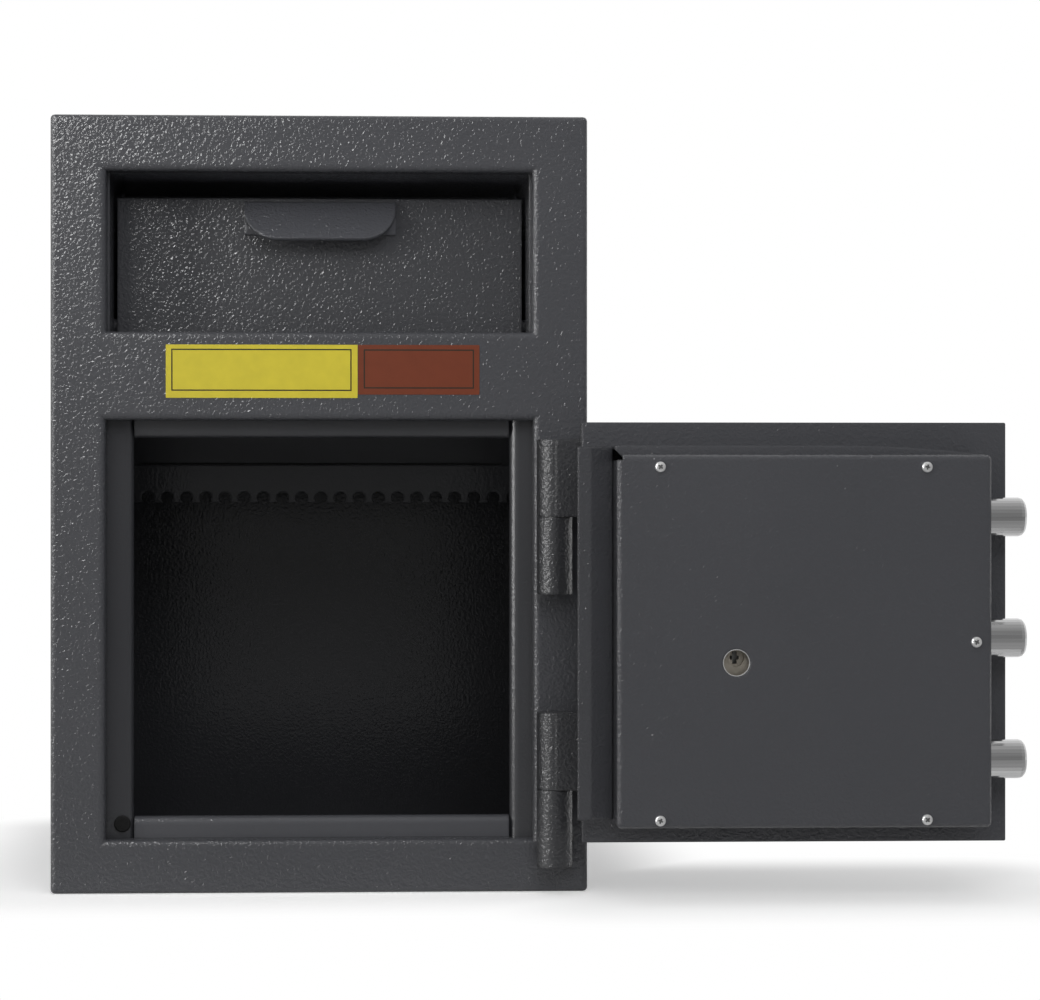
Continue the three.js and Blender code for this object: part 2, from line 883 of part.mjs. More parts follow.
function hingePin(joint) {
  return rod('up', [...hingeAxis, joint - hingePinReach], hingePinRadius, 2 * hingePinReach, 24);
}

function doorKnuckle(joint) {
  const low = joint + runningGap;
  const barrel = rod('up', [...hingeAxis, low], knuckleRadius, knuckleLength, 36);
  const leaf = block(
    [hingeX - hingeLeafReach, hingeX],
    [-runningGap - hingeLeafSheet, -runningGap],
    [low, low + knuckleLength],
  );
  return cut(join(barrel, leaf), bore(joint - overrun, overrun + hingePinReach + runningGap));
}

// Door, drawn shut

// The plate carries welded posts for the cover's screws
function doorPlate() {
  const shape = withHoles(
    shapeOf(roundedRectangle([door.latch, door.hinge], [door.bottom, door.top], doorCornerRadius)),
    circle([dialX, dialHeight], dialSpindleRadius + runningGap),
    circle([handleX, handleHeight], handleSpindleRadius + runningGap),
  );
  return join(backward(shape, [0, doorThickness]), ...postPlaces().map(coverPost));
}

// A bent bar that reaches behind the hinge-side stop when the door is shut
function deadBar() {
  const lip = door.hinge + deadBarOverhang;
  const foot = door.hinge - deadBarFoot;
  const outline = bentSheet([
    [lip, onDoor(deadBarLipRise)],
    [lip - deadBarLipWidth, onDoor(deadBarLipRise)],
    [foot, onDoor(deadBarShoulderRise)],
    [foot, onDoor(0)],
  ], deadBarSheet);
  return upward(shapeOf(outline), [door.bottom + deadBarFromBottom, door.top - deadBarFromTop]);
}

const coverHoleX = dialX + coverHoleFromDial;
const boxHingeEnd = door.hinge - deadBarFoot - deadBarSheet - runningGap;

// The top wall falls away in a gentle bow towards the latch side, and turns down behind the cover's top edge
function boxTopWall() {
  const steps = 6;
  const bow = [];
  for (let step = 0; step <= steps; step += 1) {
    const share = step / steps;
    bow.push([guideWall.outer + boxTopBow * (1 - share), box.top - boxTopFall * share ** 2]);
  }
  const upper = [[boxHingeEnd, box.top], ...bow];
  const lower = upper.map(([x, z]) => [x, z - boxSheet]).reverse();
  const edge = box.top - boxTopFlange;
  const wall = backward(shapeOf([...upper, ...lower]), [onDoor(0), onDoor(boxTopDepth)]);
  const flange = backward(shapeOf([
    ...upper,
    [guideWall.outer, edge],
    [boxHingeEnd - boxTopCorner, edge],
    [boxHingeEnd, edge + boxTopCorner],
  ]), [onDoor(boxTopDepth - boxSheet), onDoor(boxTopDepth)]);
  return join(wall, flange);
}

const underCover = coverRise - coverSheet - runningGap;
const lugScrewPlace = [guideWall.inner + lugScrewReach, middleBolt - lugBelowBolt];

function boxBottomWall() {
  return block(
    [guideWall.inner + runningGap, cover.hinge - coverSheet - runningGap],
    [onDoor(0), onDoor(underCover)],
    [box.bottom, box.bottom + boxSheet],
  );
}

// The wall that guides the bolts, with a lug over the middle bolt for one of the cover's screws
function boltGuideWall() {
  const wall = block(
    [guideWall.outer, guideWall.inner],
    [onDoor(0), onDoor(underCover)],
    [guideWall.bottom, guideWall.top],
  );
  const lug = block(
    [guideWall.inner, guideWall.inner + lugReach],
    [onDoor(underCover - lugSheet), onDoor(underCover)],
    about(lugScrewPlace[1], lugWidth),
  );
  const guides = boltHeights.map((height) => rod(
    'right',
    [guideWall.outer - overrun, onDoor(boltAxisRise), height],
    boltRadius + runningGap,
    guideWallSheet + 2 * overrun,
  ));
  const screwHole = rod(
    'back',
    [lugScrewPlace[0], onDoor(underCover - lugSheet) - overrun, lugScrewPlace[1]],
    coverScrewRadius + runningGap,
    lugSheet + 2 * overrun,
    12,
  );
  return cut(join(cut(wall, ...guides), lug), screwHole);
}

function postPlaces() {
  const places = [];
  for (const height of [cover.bottom + coverScrewFromBottom, cover.top - coverScrewFromTop]) {
    for (const x of [cover.hinge - coverScrewFromHingeSide, cover.latch + coverScrewFromLatchSide]) {
      places.push([x, height]);
    }
  }
  return places;
}

function coverPost([x, z]) {
  const bottom = underCover - coverScrewLength;
  const hole = coverScrewRadius + runningGap;
  return turned('back', [x, onDoor(0), z], [
    [0, -postRadius],
    [postRadius, -postRadius],
    [postRadius, underCover],
    [hole, underCover],
    [hole, bottom],
    [0, bottom],
  ], 16);
}

// A shallow pan, open on the plate side, with a deep flange along the hinge side and a short one on top
function doorCover() {
  const outer = roundedSlab(
    [cover.latch, cover.hinge],
    [cover.bottom, cover.top],
    [onDoor(coverRise - coverHingeFlange), onDoor(coverRise)],
    coverBendRadius,
    -1,
  );
  const inside = block(
    [cover.latch + coverSheet, cover.hinge - coverSheet],
    [0, onDoor(coverRise - coverSheet)],
    [cover.bottom + coverSheet, cover.top - coverSheet],
  );
  const belowTopFlange = block(
    [cover.latch - overrun, cover.hinge - coverSheet],
    [0, onDoor(coverRise - coverTopFlange)],
    [cover.bottom - overrun, cover.top + overrun],
  );
  const belowOpenSides = block(
    [cover.latch - overrun, cover.hinge - coverSheet],
    [0, onDoor(coverRise - coverBendRadius)],
    [cover.bottom - overrun, cover.top - coverSheet],
  );
  const relief = block(
    [cover.hinge - coverCornerRelief, cover.hinge + overrun],
    [0, onDoor(coverRise) + overrun],
    [cover.top - coverCornerRelief, cover.top + overrun],
  );
  const hole = rod('back', [coverHoleX, 0, dialHeight], coverHoleRadius, caseDepth);
  const screwHoles = [...postPlaces(), lugScrewPlace].map(([x, z]) => (
    rod('back', [x, 0, z], coverScrewRadius + runningGap, caseDepth, 12)
  ));
  return cut(outer, inside, belowTopFlange, belowOpenSides, relief, hole, ...screwHoles);
}

function coverScrew([x, z], length) {
  return turned('back', [x, onDoor(coverRise), z], [
    [0, -length],
    [coverScrewRadius, -length],
    [coverScrewRadius, 0],
    [coverScrewHeadRadius, 0],
    [coverScrewHeadRadius, coverScrewRim],
    [coverScrewCrownRadius, coverScrewHead - coverScrewCrown],
    [0, coverScrewHead],
  ], 16);
}

// Boltwork

// A round bolt with a tenon that goes through the bar and is riveted over behind it
function lockingBolt(height) {
  const length = boltRear - boltTip;
  const seat = -boltBarSheet - runningGap;
  return turned('left', [boltRear, onDoor(boltAxisRise), height], [
    [0, seat - tenonHead],
    [tenonHeadRadius, seat - tenonHead],
    [tenonHeadRadius, seat],
    [tenonRadius, seat],
    [tenonRadius, 0],
    [boltRadius, 0],
    ...arc([boltRadius - boltNoseRadius, length - boltNoseRadius], boltNoseRadius, 0, Math.PI / 2, 3),
    [0, length],
  ]);
}

const barRange = [boltHeights[0] - boltBarEnd, boltHeights[2] + boltBarEnd];

// The posts run in slots in the tabs at the bar's two ends
function guidePostPlaces() {
  const [low, high] = barRange;
  const heights = [low + barTabHeight / 2, high - barTabHeight / 2];
  return heights.map((height) => [boltBarX + guidePostReach, height]);
}

// An angle: one leg stands behind the bolts, the other lies flat with the crank's slot and the guide slots
function boltBar() {
  const [low, high] = barRange;
  const right = boltBarX + boltBarWidth;
  const tabRight = boltBarX + barTabWidth;
  const guideRadius = guidePostRadius + runningGap;
  const guides = guidePostPlaces().map(([x, z]) => slot([x - boltTravel, x], z, guideRadius));
  const slotHalf = crankPinRadius + crankSlotClearance;
  const crankSlot = rectangle(
    about(handleX - crankThrow, 2 * slotHalf),
    [handleHeight - crankThrow * Math.SQRT2 - slotHalf, handleHeight - crankThrow + slotHalf],
  );
  const flat = backward(withHoles(
    shapeOf([
      [boltRear, low],
      [tabRight, low],
      [tabRight, low + barTabHeight],
      [right, low + barTabHeight],
      [right, high - barTabHeight],
      [tabRight, high - barTabHeight],
      [tabRight, high],
      [boltRear, high],
    ]),
    crankSlot,
    ...guides,
  ), [onDoor(boltBarRise), onDoor(boltBarRise + boltBarSheet)]);
  const holes = boltHeights.map((height) => circle([onDoor(boltAxisRise), height], tenonRadius + runningGap));
  const standing = across(withHoles(
    shapeOf(rectangle([onDoor(boltBarRise), onDoor(boltBarRise + boltBarFlange)], [low, high])),
    ...holes,
  ), [boltRear, boltBarX]);
  return join(flat, standing);
}

// A headed post that carries the bar at its rise and runs in one of its slots
function guidePost([x, z]) {
  const seat = boltBarRise - runningGap;
  const over = boltBarRise + boltBarSheet + runningGap;
  return turned('back', [x, onDoor(0), z], [
    [0, 0],
    [guidePostHeadRadius, 0],
    [guidePostHeadRadius, seat],
    [guidePostRadius, seat],
    [guidePostRadius, over],
    [guidePostHeadRadius, over],
    [guidePostHeadRadius, over + guidePostHead],
    [0, over + guidePostHead],
  ], 20);
}

// Handle

const leverSeat = roseThickness + runningGap;

function leverHandle() {
  const hub = turned('forward', [handleX, 0, handleHeight], [
    [0, leverSeat],
    [leverHubRadius, leverSeat],
    [leverHubRadius, leverSeat + leverHubLength - leverBevel],
    [leverHubRadius - leverBevel, leverSeat + leverHubLength],
    [0, leverSeat + leverHubLength],
  ]);
  const tip = handleX - leverLength + leverTipRadius;
  const shoulder = leverHubRadius * Math.cos(Math.PI / 4);
  const arm = shapeOf([
    ...arc([tip, handleHeight], leverTipRadius, Math.PI / 2, 1.5 * Math.PI, 8),
    [handleX, handleHeight - shoulder],
    [handleX, handleHeight + shoulder],
  ]);
  return join(hub, backward(arm, [-leverStandOff - leverThickness, -leverStandOff], leverBevel));
}

function handleRose() {
  const hole = handleSpindleRadius + runningGap;
  return turned('forward', [handleX, 0, handleHeight], [
    [hole, 0],
    [roseRadius, 0],
    [roseRadius, roseThickness - roseBevel],
    [roseRadius - roseBevel, roseThickness],
    [hole, roseThickness],
    [hole, 0],
  ]);
}

// The spindle, its disc with a notch that faces the lock's bolt, and the crank pin that moves the bolt bar
function handleCam() {
  const halfNotch = camNotchWidth / 2;
  const mouth = Math.asin(halfNotch / camRadius);
  const disc = backward(shapeOf([
    ...arc([handleX, handleHeight], camRadius, mouth, 2 * Math.PI - mouth, 30),
    [handleX + camRadius - camNotchDepth, handleHeight - halfNotch],
    [handleX + camRadius - camNotchDepth, handleHeight + halfNotch],
  ]), [onDoor(camRise), onDoor(camRise + camThickness)]);
  const pin = rod(
    'back',
    [handleX - crankThrow, onDoor(camRise), handleHeight - crankThrow],
    crankPinRadius,
    camThickness + crankPinLength,
    20,
  );
  const spindle = rod(
    'back',
    [handleX, -leverSeat, handleHeight],
    handleSpindleRadius,
    leverSeat + onDoor(camRise + camThickness),
    24,
  );
  return join(disc, pin, spindle);
}

// Combination lock

function dialRing() {
  const hole = dialSpindleRadius + runningGap;
  const inside = dialRingRadius - dialRingRim;
  return turned('forward', [dialX, 0, dialHeight], [
    [hole, 0],
    [dialRingRadius, 0],
    [dialRingRadius, dialRingThickness],
    [inside, dialRingThickness],
    [inside, dialRingBase],
    [hole, dialRingBase],
    [hole, 0],
  ], 40);
}

const dialSeat = dialRingBase + runningGap;

function lockDial() {
  const edge = dialRingRadius - dialRingRim - runningGap;
  const shoulder = dialSeat + dialEdge + dialRise;
  const tip = shoulder + dialKnobLength;
  const body = turned('forward', [dialX, 0, dialHeight], [
    [0, dialSeat],
    [edge, dialSeat],
    [edge, dialSeat + dialEdge],
    [dialKnobRadius + dialKnobFoot, shoulder],
    [dialKnobRadius, shoulder + dialKnobFoot],
    [dialKnobRadius, tip - dialKnobBevel],
    [dialKnobRadius - dialKnobBevel, tip],
    [0, tip],
  ], 48);
  const flutes = [];
  for (let i = 0; i < dialFluteCount; i += 1) {
    const angle = (2 * Math.PI * i) / dialFluteCount;
    flutes.push(rod('forward', [
      dialX + dialKnobRadius * Math.cos(angle),
      -shoulder - 2 * dialKnobFoot,
      dialHeight + dialKnobRadius * Math.sin(angle),
    ], dialFluteRadius, dialKnobLength, 6));
  }
  return cut(body, ...flutes);
}

const chamberFloor = lockRise + lockCaseDepth - lockChamberDepth;
const postTop = chamberFloor + wheelPitch * wheelCount;
const driveCamSeat = postTop + runningGap;

// The spindle with the drive cam fixed on its inner end
function driveCam() {
  const camFoot = dialSeat + onDoor(driveCamSeat);
  return turned('back', [dialX, -dialSeat, dialHeight], [
    [0, 0],
    [dialSpindleRadius, 0],
    [dialSpindleRadius, camFoot],
    [wheelRadius, camFoot],
    [wheelRadius, camFoot + driveCamThickness],
    [0, camFoot + driveCamThickness],
  ], 24);
}

// Gated wheels that ride on the post inside the lock, with hubs that space them
function wheelPack() {
  const bore = wheelPostRadius + runningGap;
  const profile = [[bore, runningGap]];
  for (let i = 0; i < wheelCount; i += 1) {
    const base = runningGap + i * wheelPitch;
    if (i > 0) profile.push([wheelHubRadius, base]);
    profile.push([wheelRadius, base], [wheelRadius, base + wheelThickness]);
    if (i + 1 < wheelCount) profile.push([wheelHubRadius, base + wheelThickness]);
  }
  const top = runningGap + (wheelCount - 1) * wheelPitch + wheelThickness;
  profile.push([bore, top], [bore, runningGap]);
  const wheels = turned('back', [dialX, onDoor(chamberFloor), dialHeight], profile, 24);
  const gates = block(
    about(dialX, wheelGateWidth),
    [onDoor(chamberFloor), onDoor(chamberFloor + top) + overrun],
    [dialHeight + wheelRadius - wheelGateDepth, dialHeight + wheelRadius + overrun],
  );
  return cut(wheels, gates);
}

const lockSpanX = [lockEnd, lockEnd + lockWidth];
const lockSpanZ = about(dialHeight, lockHeight);

function hardPlate() {
  const [left, right] = lockSpanX;
  const [low, high] = lockSpanZ;
  const shape = withHoles(
    shapeOf(rectangle(
      [left - hardPlateMargin, right + hardPlateMargin],
      [low - hardPlateMargin, high + hardPlateMargin],
    )),
    circle([dialX, dialHeight], dialSpindleRadius + runningGap, 20),
  );
  return backward(shape, [onDoor(0), onDoor(hardPlateSheet)]);
}

// Two screws hold the lock's back, in opposite corners
const lockScrewPlaces = [
  [lockSpanX[0] + lockScrewInset, lockSpanZ[1] - lockScrewInset],
  [lockSpanX[1] - lockScrewInset, lockSpanZ[0] + lockScrewInset],
];

const lockBackSeat = lockRise + lockCaseDepth;

function lockScrewHoles() {
  const depth = lockScrewLength + runningGap + overrun;
  const bottom = lockBackSeat + lockBackDepth + overrun - depth;
  return lockScrewPlaces.map(([x, z]) => (
    rod('back', [x, onDoor(bottom), z], lockScrewRadius + runningGap, depth, 12)
  ));
}

function lockCase() {
  const shell = backward(
    shapeOf(roundedRectangle(lockSpanX, lockSpanZ, lockCornerRadius)),
    [onDoor(lockRise), onDoor(lockBackSeat)],
  );
  const axis = [dialX, onDoor(chamberFloor), dialHeight];
  const chamber = cut(
    rod('back', axis, lockChamberRadius, lockChamberDepth + overrun),
    rod('back', axis, wheelPostRadius, postTop - chamberFloor, 20),
  );
  const spindleHole = rod('back', [dialX, 0, dialHeight], dialSpindleRadius + runningGap, caseDepth, 20);
  const channel = block(
    [lockEnd - overrun, lockEnd + lockBoltLength + runningGap],
    [onDoor(lockRise + lockBoltFloor), onDoor(lockRise + lockBoltFloor + lockBoltThickness + 2 * runningGap)],
    about(dialHeight, lockBoltHeight + 2 * runningGap),
  );
  return cut(shell, chamber, spindleHole, channel, ...lockScrewHoles());
}

function lockBolt() {
  const rise = lockRise + lockBoltFloor + runningGap;
  return block(
    [lockEnd, lockEnd + lockBoltLength],
    [onDoor(rise), onDoor(rise + lockBoltThickness)],
    about(dialHeight, lockBoltHeight),
  );
}

// The lock's back has a cup with a cross-shaped hole for the key that changes the combination
function lockBack() {
  const slab = backward(
    shapeOf(roundedRectangle(lockSpanX, lockSpanZ, lockCornerRadius)),
    [onDoor(lockBackSeat), onDoor(lockBackSeat + lockBackDepth)],
  );
  const x = coverHoleX;
  const z = dialHeight + lockCupRise;
  const top = onDoor(lockBackSeat + lockBackDepth);
  const cup = rod('back', [x, top - lockCupDepth, z], lockCupRadius, lockCupDepth + overrun, 28);
  const through = [onDoor(lockBackSeat) - overrun, top + overrun];
  const bar = block(about(x, keySlotWidth), through, about(z, keySlotHeight));
  const arm = block(about(x, keySlotArm), through, about(z, keySlotArmHeight));
  return cut(slab, cup, bar, arm, ...lockScrewHoles());
}

function lockScrew([x, z]) {
  return turned('back', [x, onDoor(lockBackSeat + lockBackDepth), z], [
    [0, -lockScrewLength],
    [lockScrewRadius, -lockScrewLength],
    [lockScrewRadius, 0],
    [lockScrewHeadRadius, 0],
    [lockScrewHeadRadius, lockScrewHead],
    [0, lockScrewHead],
  ], 12);
}

// Assembly

const sides = { left: -1, right: 1 };

const safe = new THREE.Group();
safe.position.y = -caseDepth / 2;
addPiece(safe, 'case_wrap', caseWrap(), paint);
addPiece(safe, 'back_panel', casePanel([caseDepth - caseSheet, caseDepth], -1), paint);
addPiece(safe, 'front_frame', frontFrame(), paint);
addPiece(safe, 'stop_latch_side', uprightStop(latchStopWidth, (into) => doorWindow.left + into), paint);
addPiece(safe, 'stop_hinge_side', uprightStop(hingeStopWidth, (into) => doorWindow.right - into), paint);
addPiece(safe, 'stop_top_rail', railStop(topStopWidth, (into) => doorWindow.top - into), paint);
addPiece(safe, 'stop_bottom_rail', railStop(bottomStopWidth, (into) => doorWindow.bottom + into), paint);
addPiece(safe, 'corner_bumper', cornerBumper(), rubber);
addPiece(safe, 'recess_ceiling', recessCeiling(), paint);
addPiece(safe, 'recess_hood', recessHood(), paint);
addPiece(safe, 'recess_sill', recessSill(), paint);
addPiece(safe, 'chute_with_comb', chuteWithComb(), paint);
for (const [name, side] of Object.entries(sides)) {
  const pivotProfile = [pivotHeadRadius, pivotHead, pivotRadius];
  const stopProfileSizes = [stopPinHeadRadius, stopPinHead, stopPinRadius];
  addPiece(safe, `recess_side_${name}`, recessSide(side), paint);
  addPiece(safe, `drawer_pivot_${name}`, drawerPin(side, drawerPivot, pivotProfile), paint);
  addPiece(safe, `drawer_stop_pin_${name}`, drawerPin(side, stopPinPlace(), stopProfileSizes), paint);
}
for (const [name, height] of Object.entries(hingeHeights)) {
  addPiece(safe, `hinge_${name}_case_knuckle`, caseKnuckle(height), paint);
  addPiece(safe, `hinge_${name}_pin`, hingePin(height), plainSteel);
}

const drawer = new THREE.Group();
safe.add(drawer);
addPiece(drawer, 'drawer_face', drawerFacePlate(), paint);
addPiece(drawer, 'drawer_pull', drawerPull(), paint);
addPiece(drawer, 'drawer_floor', drawerFloor(), paint);
for (const [name, side] of Object.entries(sides)) {
  addPiece(drawer, `drawer_side_${name}`, drawerSide(side), paint);
}

const doorPivot = new THREE.Group();
doorPivot.position.set(hingeX, -hingeStandOff, 0);
doorPivot.rotation.z = doorSwing;
safe.add(doorPivot);
const doorParts = new THREE.Group();
doorParts.position.set(-hingeX, hingeStandOff, 0);
doorPivot.add(doorParts);
addPiece(doorParts, 'door_plate', doorPlate(), paint);
for (const [name, height] of Object.entries(hingeHeights)) {
  addPiece(doorParts, `hinge_${name}_door_knuckle`, doorKnuckle(height), paint);
}
addPiece(doorParts, 'dead_bar', deadBar(), paint);
addPiece(doorParts, 'bolt_box_top', boxTopWall(), paint);
addPiece(doorParts, 'bolt_box_bottom', boxBottomWall(), paint);
addPiece(doorParts, 'bolt_guide_wall', boltGuideWall(), paint);
addPiece(doorParts, 'door_cover', doorCover(), paint);
postPlaces().forEach((place, i) => {
  addPiece(doorParts, `cover_screw_${i + 1}`, coverScrew(place, coverScrewLength), chrome);
});
addPiece(doorParts, 'lug_screw', coverScrew(lugScrewPlace, coverSheet + runningGap + lugSheet), chrome);
addPiece(doorParts, 'hard_plate', hardPlate(), plainSteel);
addPiece(doorParts, 'lock_case', lockCase(), castZinc);
addPiece(doorParts, 'lock_bolt', lockBolt(), plainSteel);
addPiece(doorParts, 'lock_back', lockBack(), castZinc);
lockScrewPlaces.forEach((place, i) => {
  addPiece(doorParts, `lock_screw_${i + 1}`, lockScrew(place), plainSteel);
});
addPiece(doorParts, 'dial_ring', dialRing(), chrome);
addPiece(doorParts, 'handle_rose', handleRose(), chrome);
guidePostPlaces().forEach((place, i) => {
  addPiece(doorParts, `guide_post_${i + 1}`, guidePost(place), plainSteel);
});
addPiece(doorParts, 'bolt_bar', boltBar(), plainSteel);
['bottom', 'middle', 'top'].forEach((name, i) => {
  addPiece(doorParts, `bolt_${name}`, lockingBolt(boltHeights[i]), chrome);
});
addPiece(doorParts, 'lever_handle', leverHandle(), chrome);
addPiece(doorParts, 'handle_cam', handleCam(), plainSteel);
addPiece(doorParts, 'dial', lockDial(), dialBlack);
addPiece(doorParts, 'drive_cam', driveCam(), plainSteel);
addPiece(doorParts, 'wheel_pack', wheelPack(), plainSteel);

export default safe;
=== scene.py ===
"""A drop safe with a deposit drawer, its door swung open: looks, fine pieces, light and camera.

Blender 4.5. Metres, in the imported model's own frame: +X right, +Y into the safe, +Z up.
"""
import json
import math

import bmesh
import bpy
from mathutils import Matrix, Vector


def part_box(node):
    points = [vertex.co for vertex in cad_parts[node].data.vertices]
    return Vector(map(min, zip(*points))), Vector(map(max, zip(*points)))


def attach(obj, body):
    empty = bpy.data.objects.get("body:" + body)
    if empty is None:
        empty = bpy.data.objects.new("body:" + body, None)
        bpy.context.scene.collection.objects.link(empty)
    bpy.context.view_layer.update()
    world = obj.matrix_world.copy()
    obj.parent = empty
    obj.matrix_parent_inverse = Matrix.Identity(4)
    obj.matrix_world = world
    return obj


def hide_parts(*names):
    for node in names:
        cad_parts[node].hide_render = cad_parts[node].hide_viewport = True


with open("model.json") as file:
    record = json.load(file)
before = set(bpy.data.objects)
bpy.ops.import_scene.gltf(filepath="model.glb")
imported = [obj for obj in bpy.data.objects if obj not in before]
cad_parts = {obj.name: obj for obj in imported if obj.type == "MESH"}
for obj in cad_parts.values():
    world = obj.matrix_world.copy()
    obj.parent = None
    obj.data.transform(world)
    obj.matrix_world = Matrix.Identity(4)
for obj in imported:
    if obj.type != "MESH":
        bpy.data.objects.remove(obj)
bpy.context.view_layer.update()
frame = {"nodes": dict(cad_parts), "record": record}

MM = 0.001

# Photograph: its size, and where the front of the case shows in it
IMAGE_WIDTH_PX = 1040
CENTRE_LINE_PX = 318.9
FLOOR_LINE_PX = 891.0
METRES_PER_PX = 0.6606 * MM

FRONT_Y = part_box("front_frame")[0].y


def photo_x(pixel):
    """X of a column of the photograph, on the front face of the case."""
    return (pixel - CENTRE_LINE_PX) * METRES_PER_PX


def photo_z(pixel):
    """Z of a row of the photograph, on the front face of the case."""
    return (FLOOR_LINE_PX - pixel) * METRES_PER_PX


def middle_of(node):
    """X and Z of the middle of a CAD node's box."""
    low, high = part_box(node)
    return (low.x + high.x) / 2, (low.z + high.z) / 2


def add_object(name, data):
    item = bpy.data.objects.new(name, data)
    bpy.context.scene.collection.objects.link(item)
    return item


# Node trees

NEW_STOP = 0.5
TONE_STOPS = (0.3, 0.7)
EDGE_SAMPLES = 4


class Nodes:
    """A node tree, with short calls for adding nodes and links."""

    def __init__(self, tree, output):
        self.tree = tree
        self.tree.nodes.clear()
        self.output = self.add(output)

    def add(self, kind, **inputs):
        node = self.tree.nodes.new("ShaderNode" + kind)
        for name, value in inputs.items():
            self.set(node, name.replace("_", " "), value)
        return node

    def put(self, socket, value):
        if isinstance(value, bpy.types.NodeSocket):
            self.tree.links.new(value, socket)
        else:
            socket.default_value = value

    def set(self, node, name, value):
        self.put(node.inputs[name], value)

    def ramp(self, factor, stops):
        node = self.add("ValToRGB", Fac=factor)
        elements = node.color_ramp.elements
        while len(elements) < len(stops):
            elements.new(NEW_STOP)
        for element, (position, value) in zip(elements, stops):
            element.position = position
            element.color = value if len(value) == 4 else (*value, 1.0)
        return node.outputs["Color"]

    def tones(self, factor, dark, light):
        """A run between two tones, which the middle of a noise crosses."""
        return self.ramp(factor, list(zip(TONE_STOPS, (dark, light))))

    def math(self, operation, first, second=0.0):
        node = self.add("Math")
        node.operation = operation
        self.put(node.inputs[0], first)
        self.put(node.inputs[1], second)
        return node.outputs[0]

    def vector(self, operation, first, second=(0.0, 0.0, 0.0)):
        node = self.add("VectorMath")
        node.operation = operation
        self.put(node.inputs[0], first)
        self.put(node.inputs[1], second)
        return node.outputs["Vector"]

    def mix(self, factor, first, second, kind="RGBA"):
        """A share of the second value in the first; kind is RGBA for colours and VALUE for numbers."""
        node = self.add("Mix")
        node.data_type = "RGBA" if kind == "RGBA" else "FLOAT"
        ends = [socket for socket in node.inputs if socket.type == kind and socket.name in ("A", "B")]
        for socket, value in zip((node.inputs[0], *ends), (factor, first, second)):
            self.put(socket, value)
        return next(socket for socket in node.outputs if socket.type == kind)

    def finish(self, surface):
        self.set(self.output, "Surface", surface)


class Shader(Nodes):
    """A material's node tree."""

    def __init__(self, name):
        self.material = bpy.data.materials.new(name)
        self.material.use_nodes = True
        super().__init__(self.material.node_tree, "OutputMaterial")

    def object_place(self):
        return self.add("TexCoord").outputs["Object"]

    def noise(self, place, scale, detail=2.0, roughness=0.5, distortion=0.0):
        node = self.add("TexNoise", Vector=place, Scale=scale, Detail=detail, Roughness=roughness)
        self.set(node, "Distortion", distortion)
        return node.outputs["Fac"]

    def bump(self, height, strength, distance, ground=None):
        node = self.add("Bump", Height=height, Strength=strength, Distance=distance)
        if ground:
            self.set(node, "Normal", ground)
        return node.outputs["Normal"]

    def round_edges(self, radius):
        node = self.add("Bevel", Radius=radius)
        node.samples = EDGE_SAMPLES
        return node.outputs["Normal"]

    def finish(self, surface):
        super().finish(surface)
        return self.material


def grey(value):
    return (value, value, value, 1.0)


# Hammered paint, calmer and darker within the case, where the darkness is painted shade

RIPPLE_NOISE = {"scale": 480.0, "detail": 1.2, "roughness": 0.4, "distortion": 0.5}
RIPPLE_DEPTH = 0.94 * MM
GRAIN_NOISE = {"scale": 900.0, "detail": 1.0}
GRAIN_SHARE = 0.10
TONE_NOISE = {"scale": 7.0, "detail": 3.0}
PAINT_DARK = (0.0500, 0.0515, 0.0590)
PAINT_LIGHT = (0.0560, 0.0575, 0.0655)
PAINT_ROUGHNESS = 0.62
PAINT_SPECULAR = 0.2
GROUND_BUMP = 0.18
COAT_BUMP = 1.0
COAT_ROUGHNESS = 0.14
COAT_IOR = 1.5
EDGE_RADIUS = 2.2 * MM
INSIDE_MIDDLE = (0.0, 0.005, 0.168)
INSIDE_HALF = (0.1735, 0.1725, 0.166)
# Share of the paint's tone within the case: painted shade
INSIDE_SHADE_SHARE = 0.64
INSIDE_CALM = 0.75

# Painted light and shade: brightness of each copy of the paint, as a share of the plain paint's
# Hinge barrels, drawer face and dead bar are darker as painted shade; pull, recess hood and ceiling, and
# bottom rail are lighter as painted light
PAINTED_LIGHT_SHARES = {
    "paint": 1.0,
    "paint_shaded_hinge": 0.50,
    "paint_lit_pull": 1.55,
    "paint_shaded_drawer": 0.82,
    "paint_lit_hood": 1.90,
    "paint_lit_rail": 1.85,
    "paint_shaded_dead_bar": 0.80,
}


def inside_case(shader, place):
    """1 within the case's cavity and 0 outside it, by place in the model."""
    offset = shader.vector("SUBTRACT", place, INSIDE_MIDDLE)
    beyond = shader.vector("SUBTRACT", shader.vector("ABSOLUTE", offset), INSIDE_HALF)
    split = shader.add("SeparateXYZ", Vector=beyond)
    furthest = shader.math("MAXIMUM", split.outputs["X"], split.outputs["Y"])
    furthest = shader.math("MAXIMUM", furthest, split.outputs["Z"])
    return shader.math("LESS_THAN", furthest, 0.0)


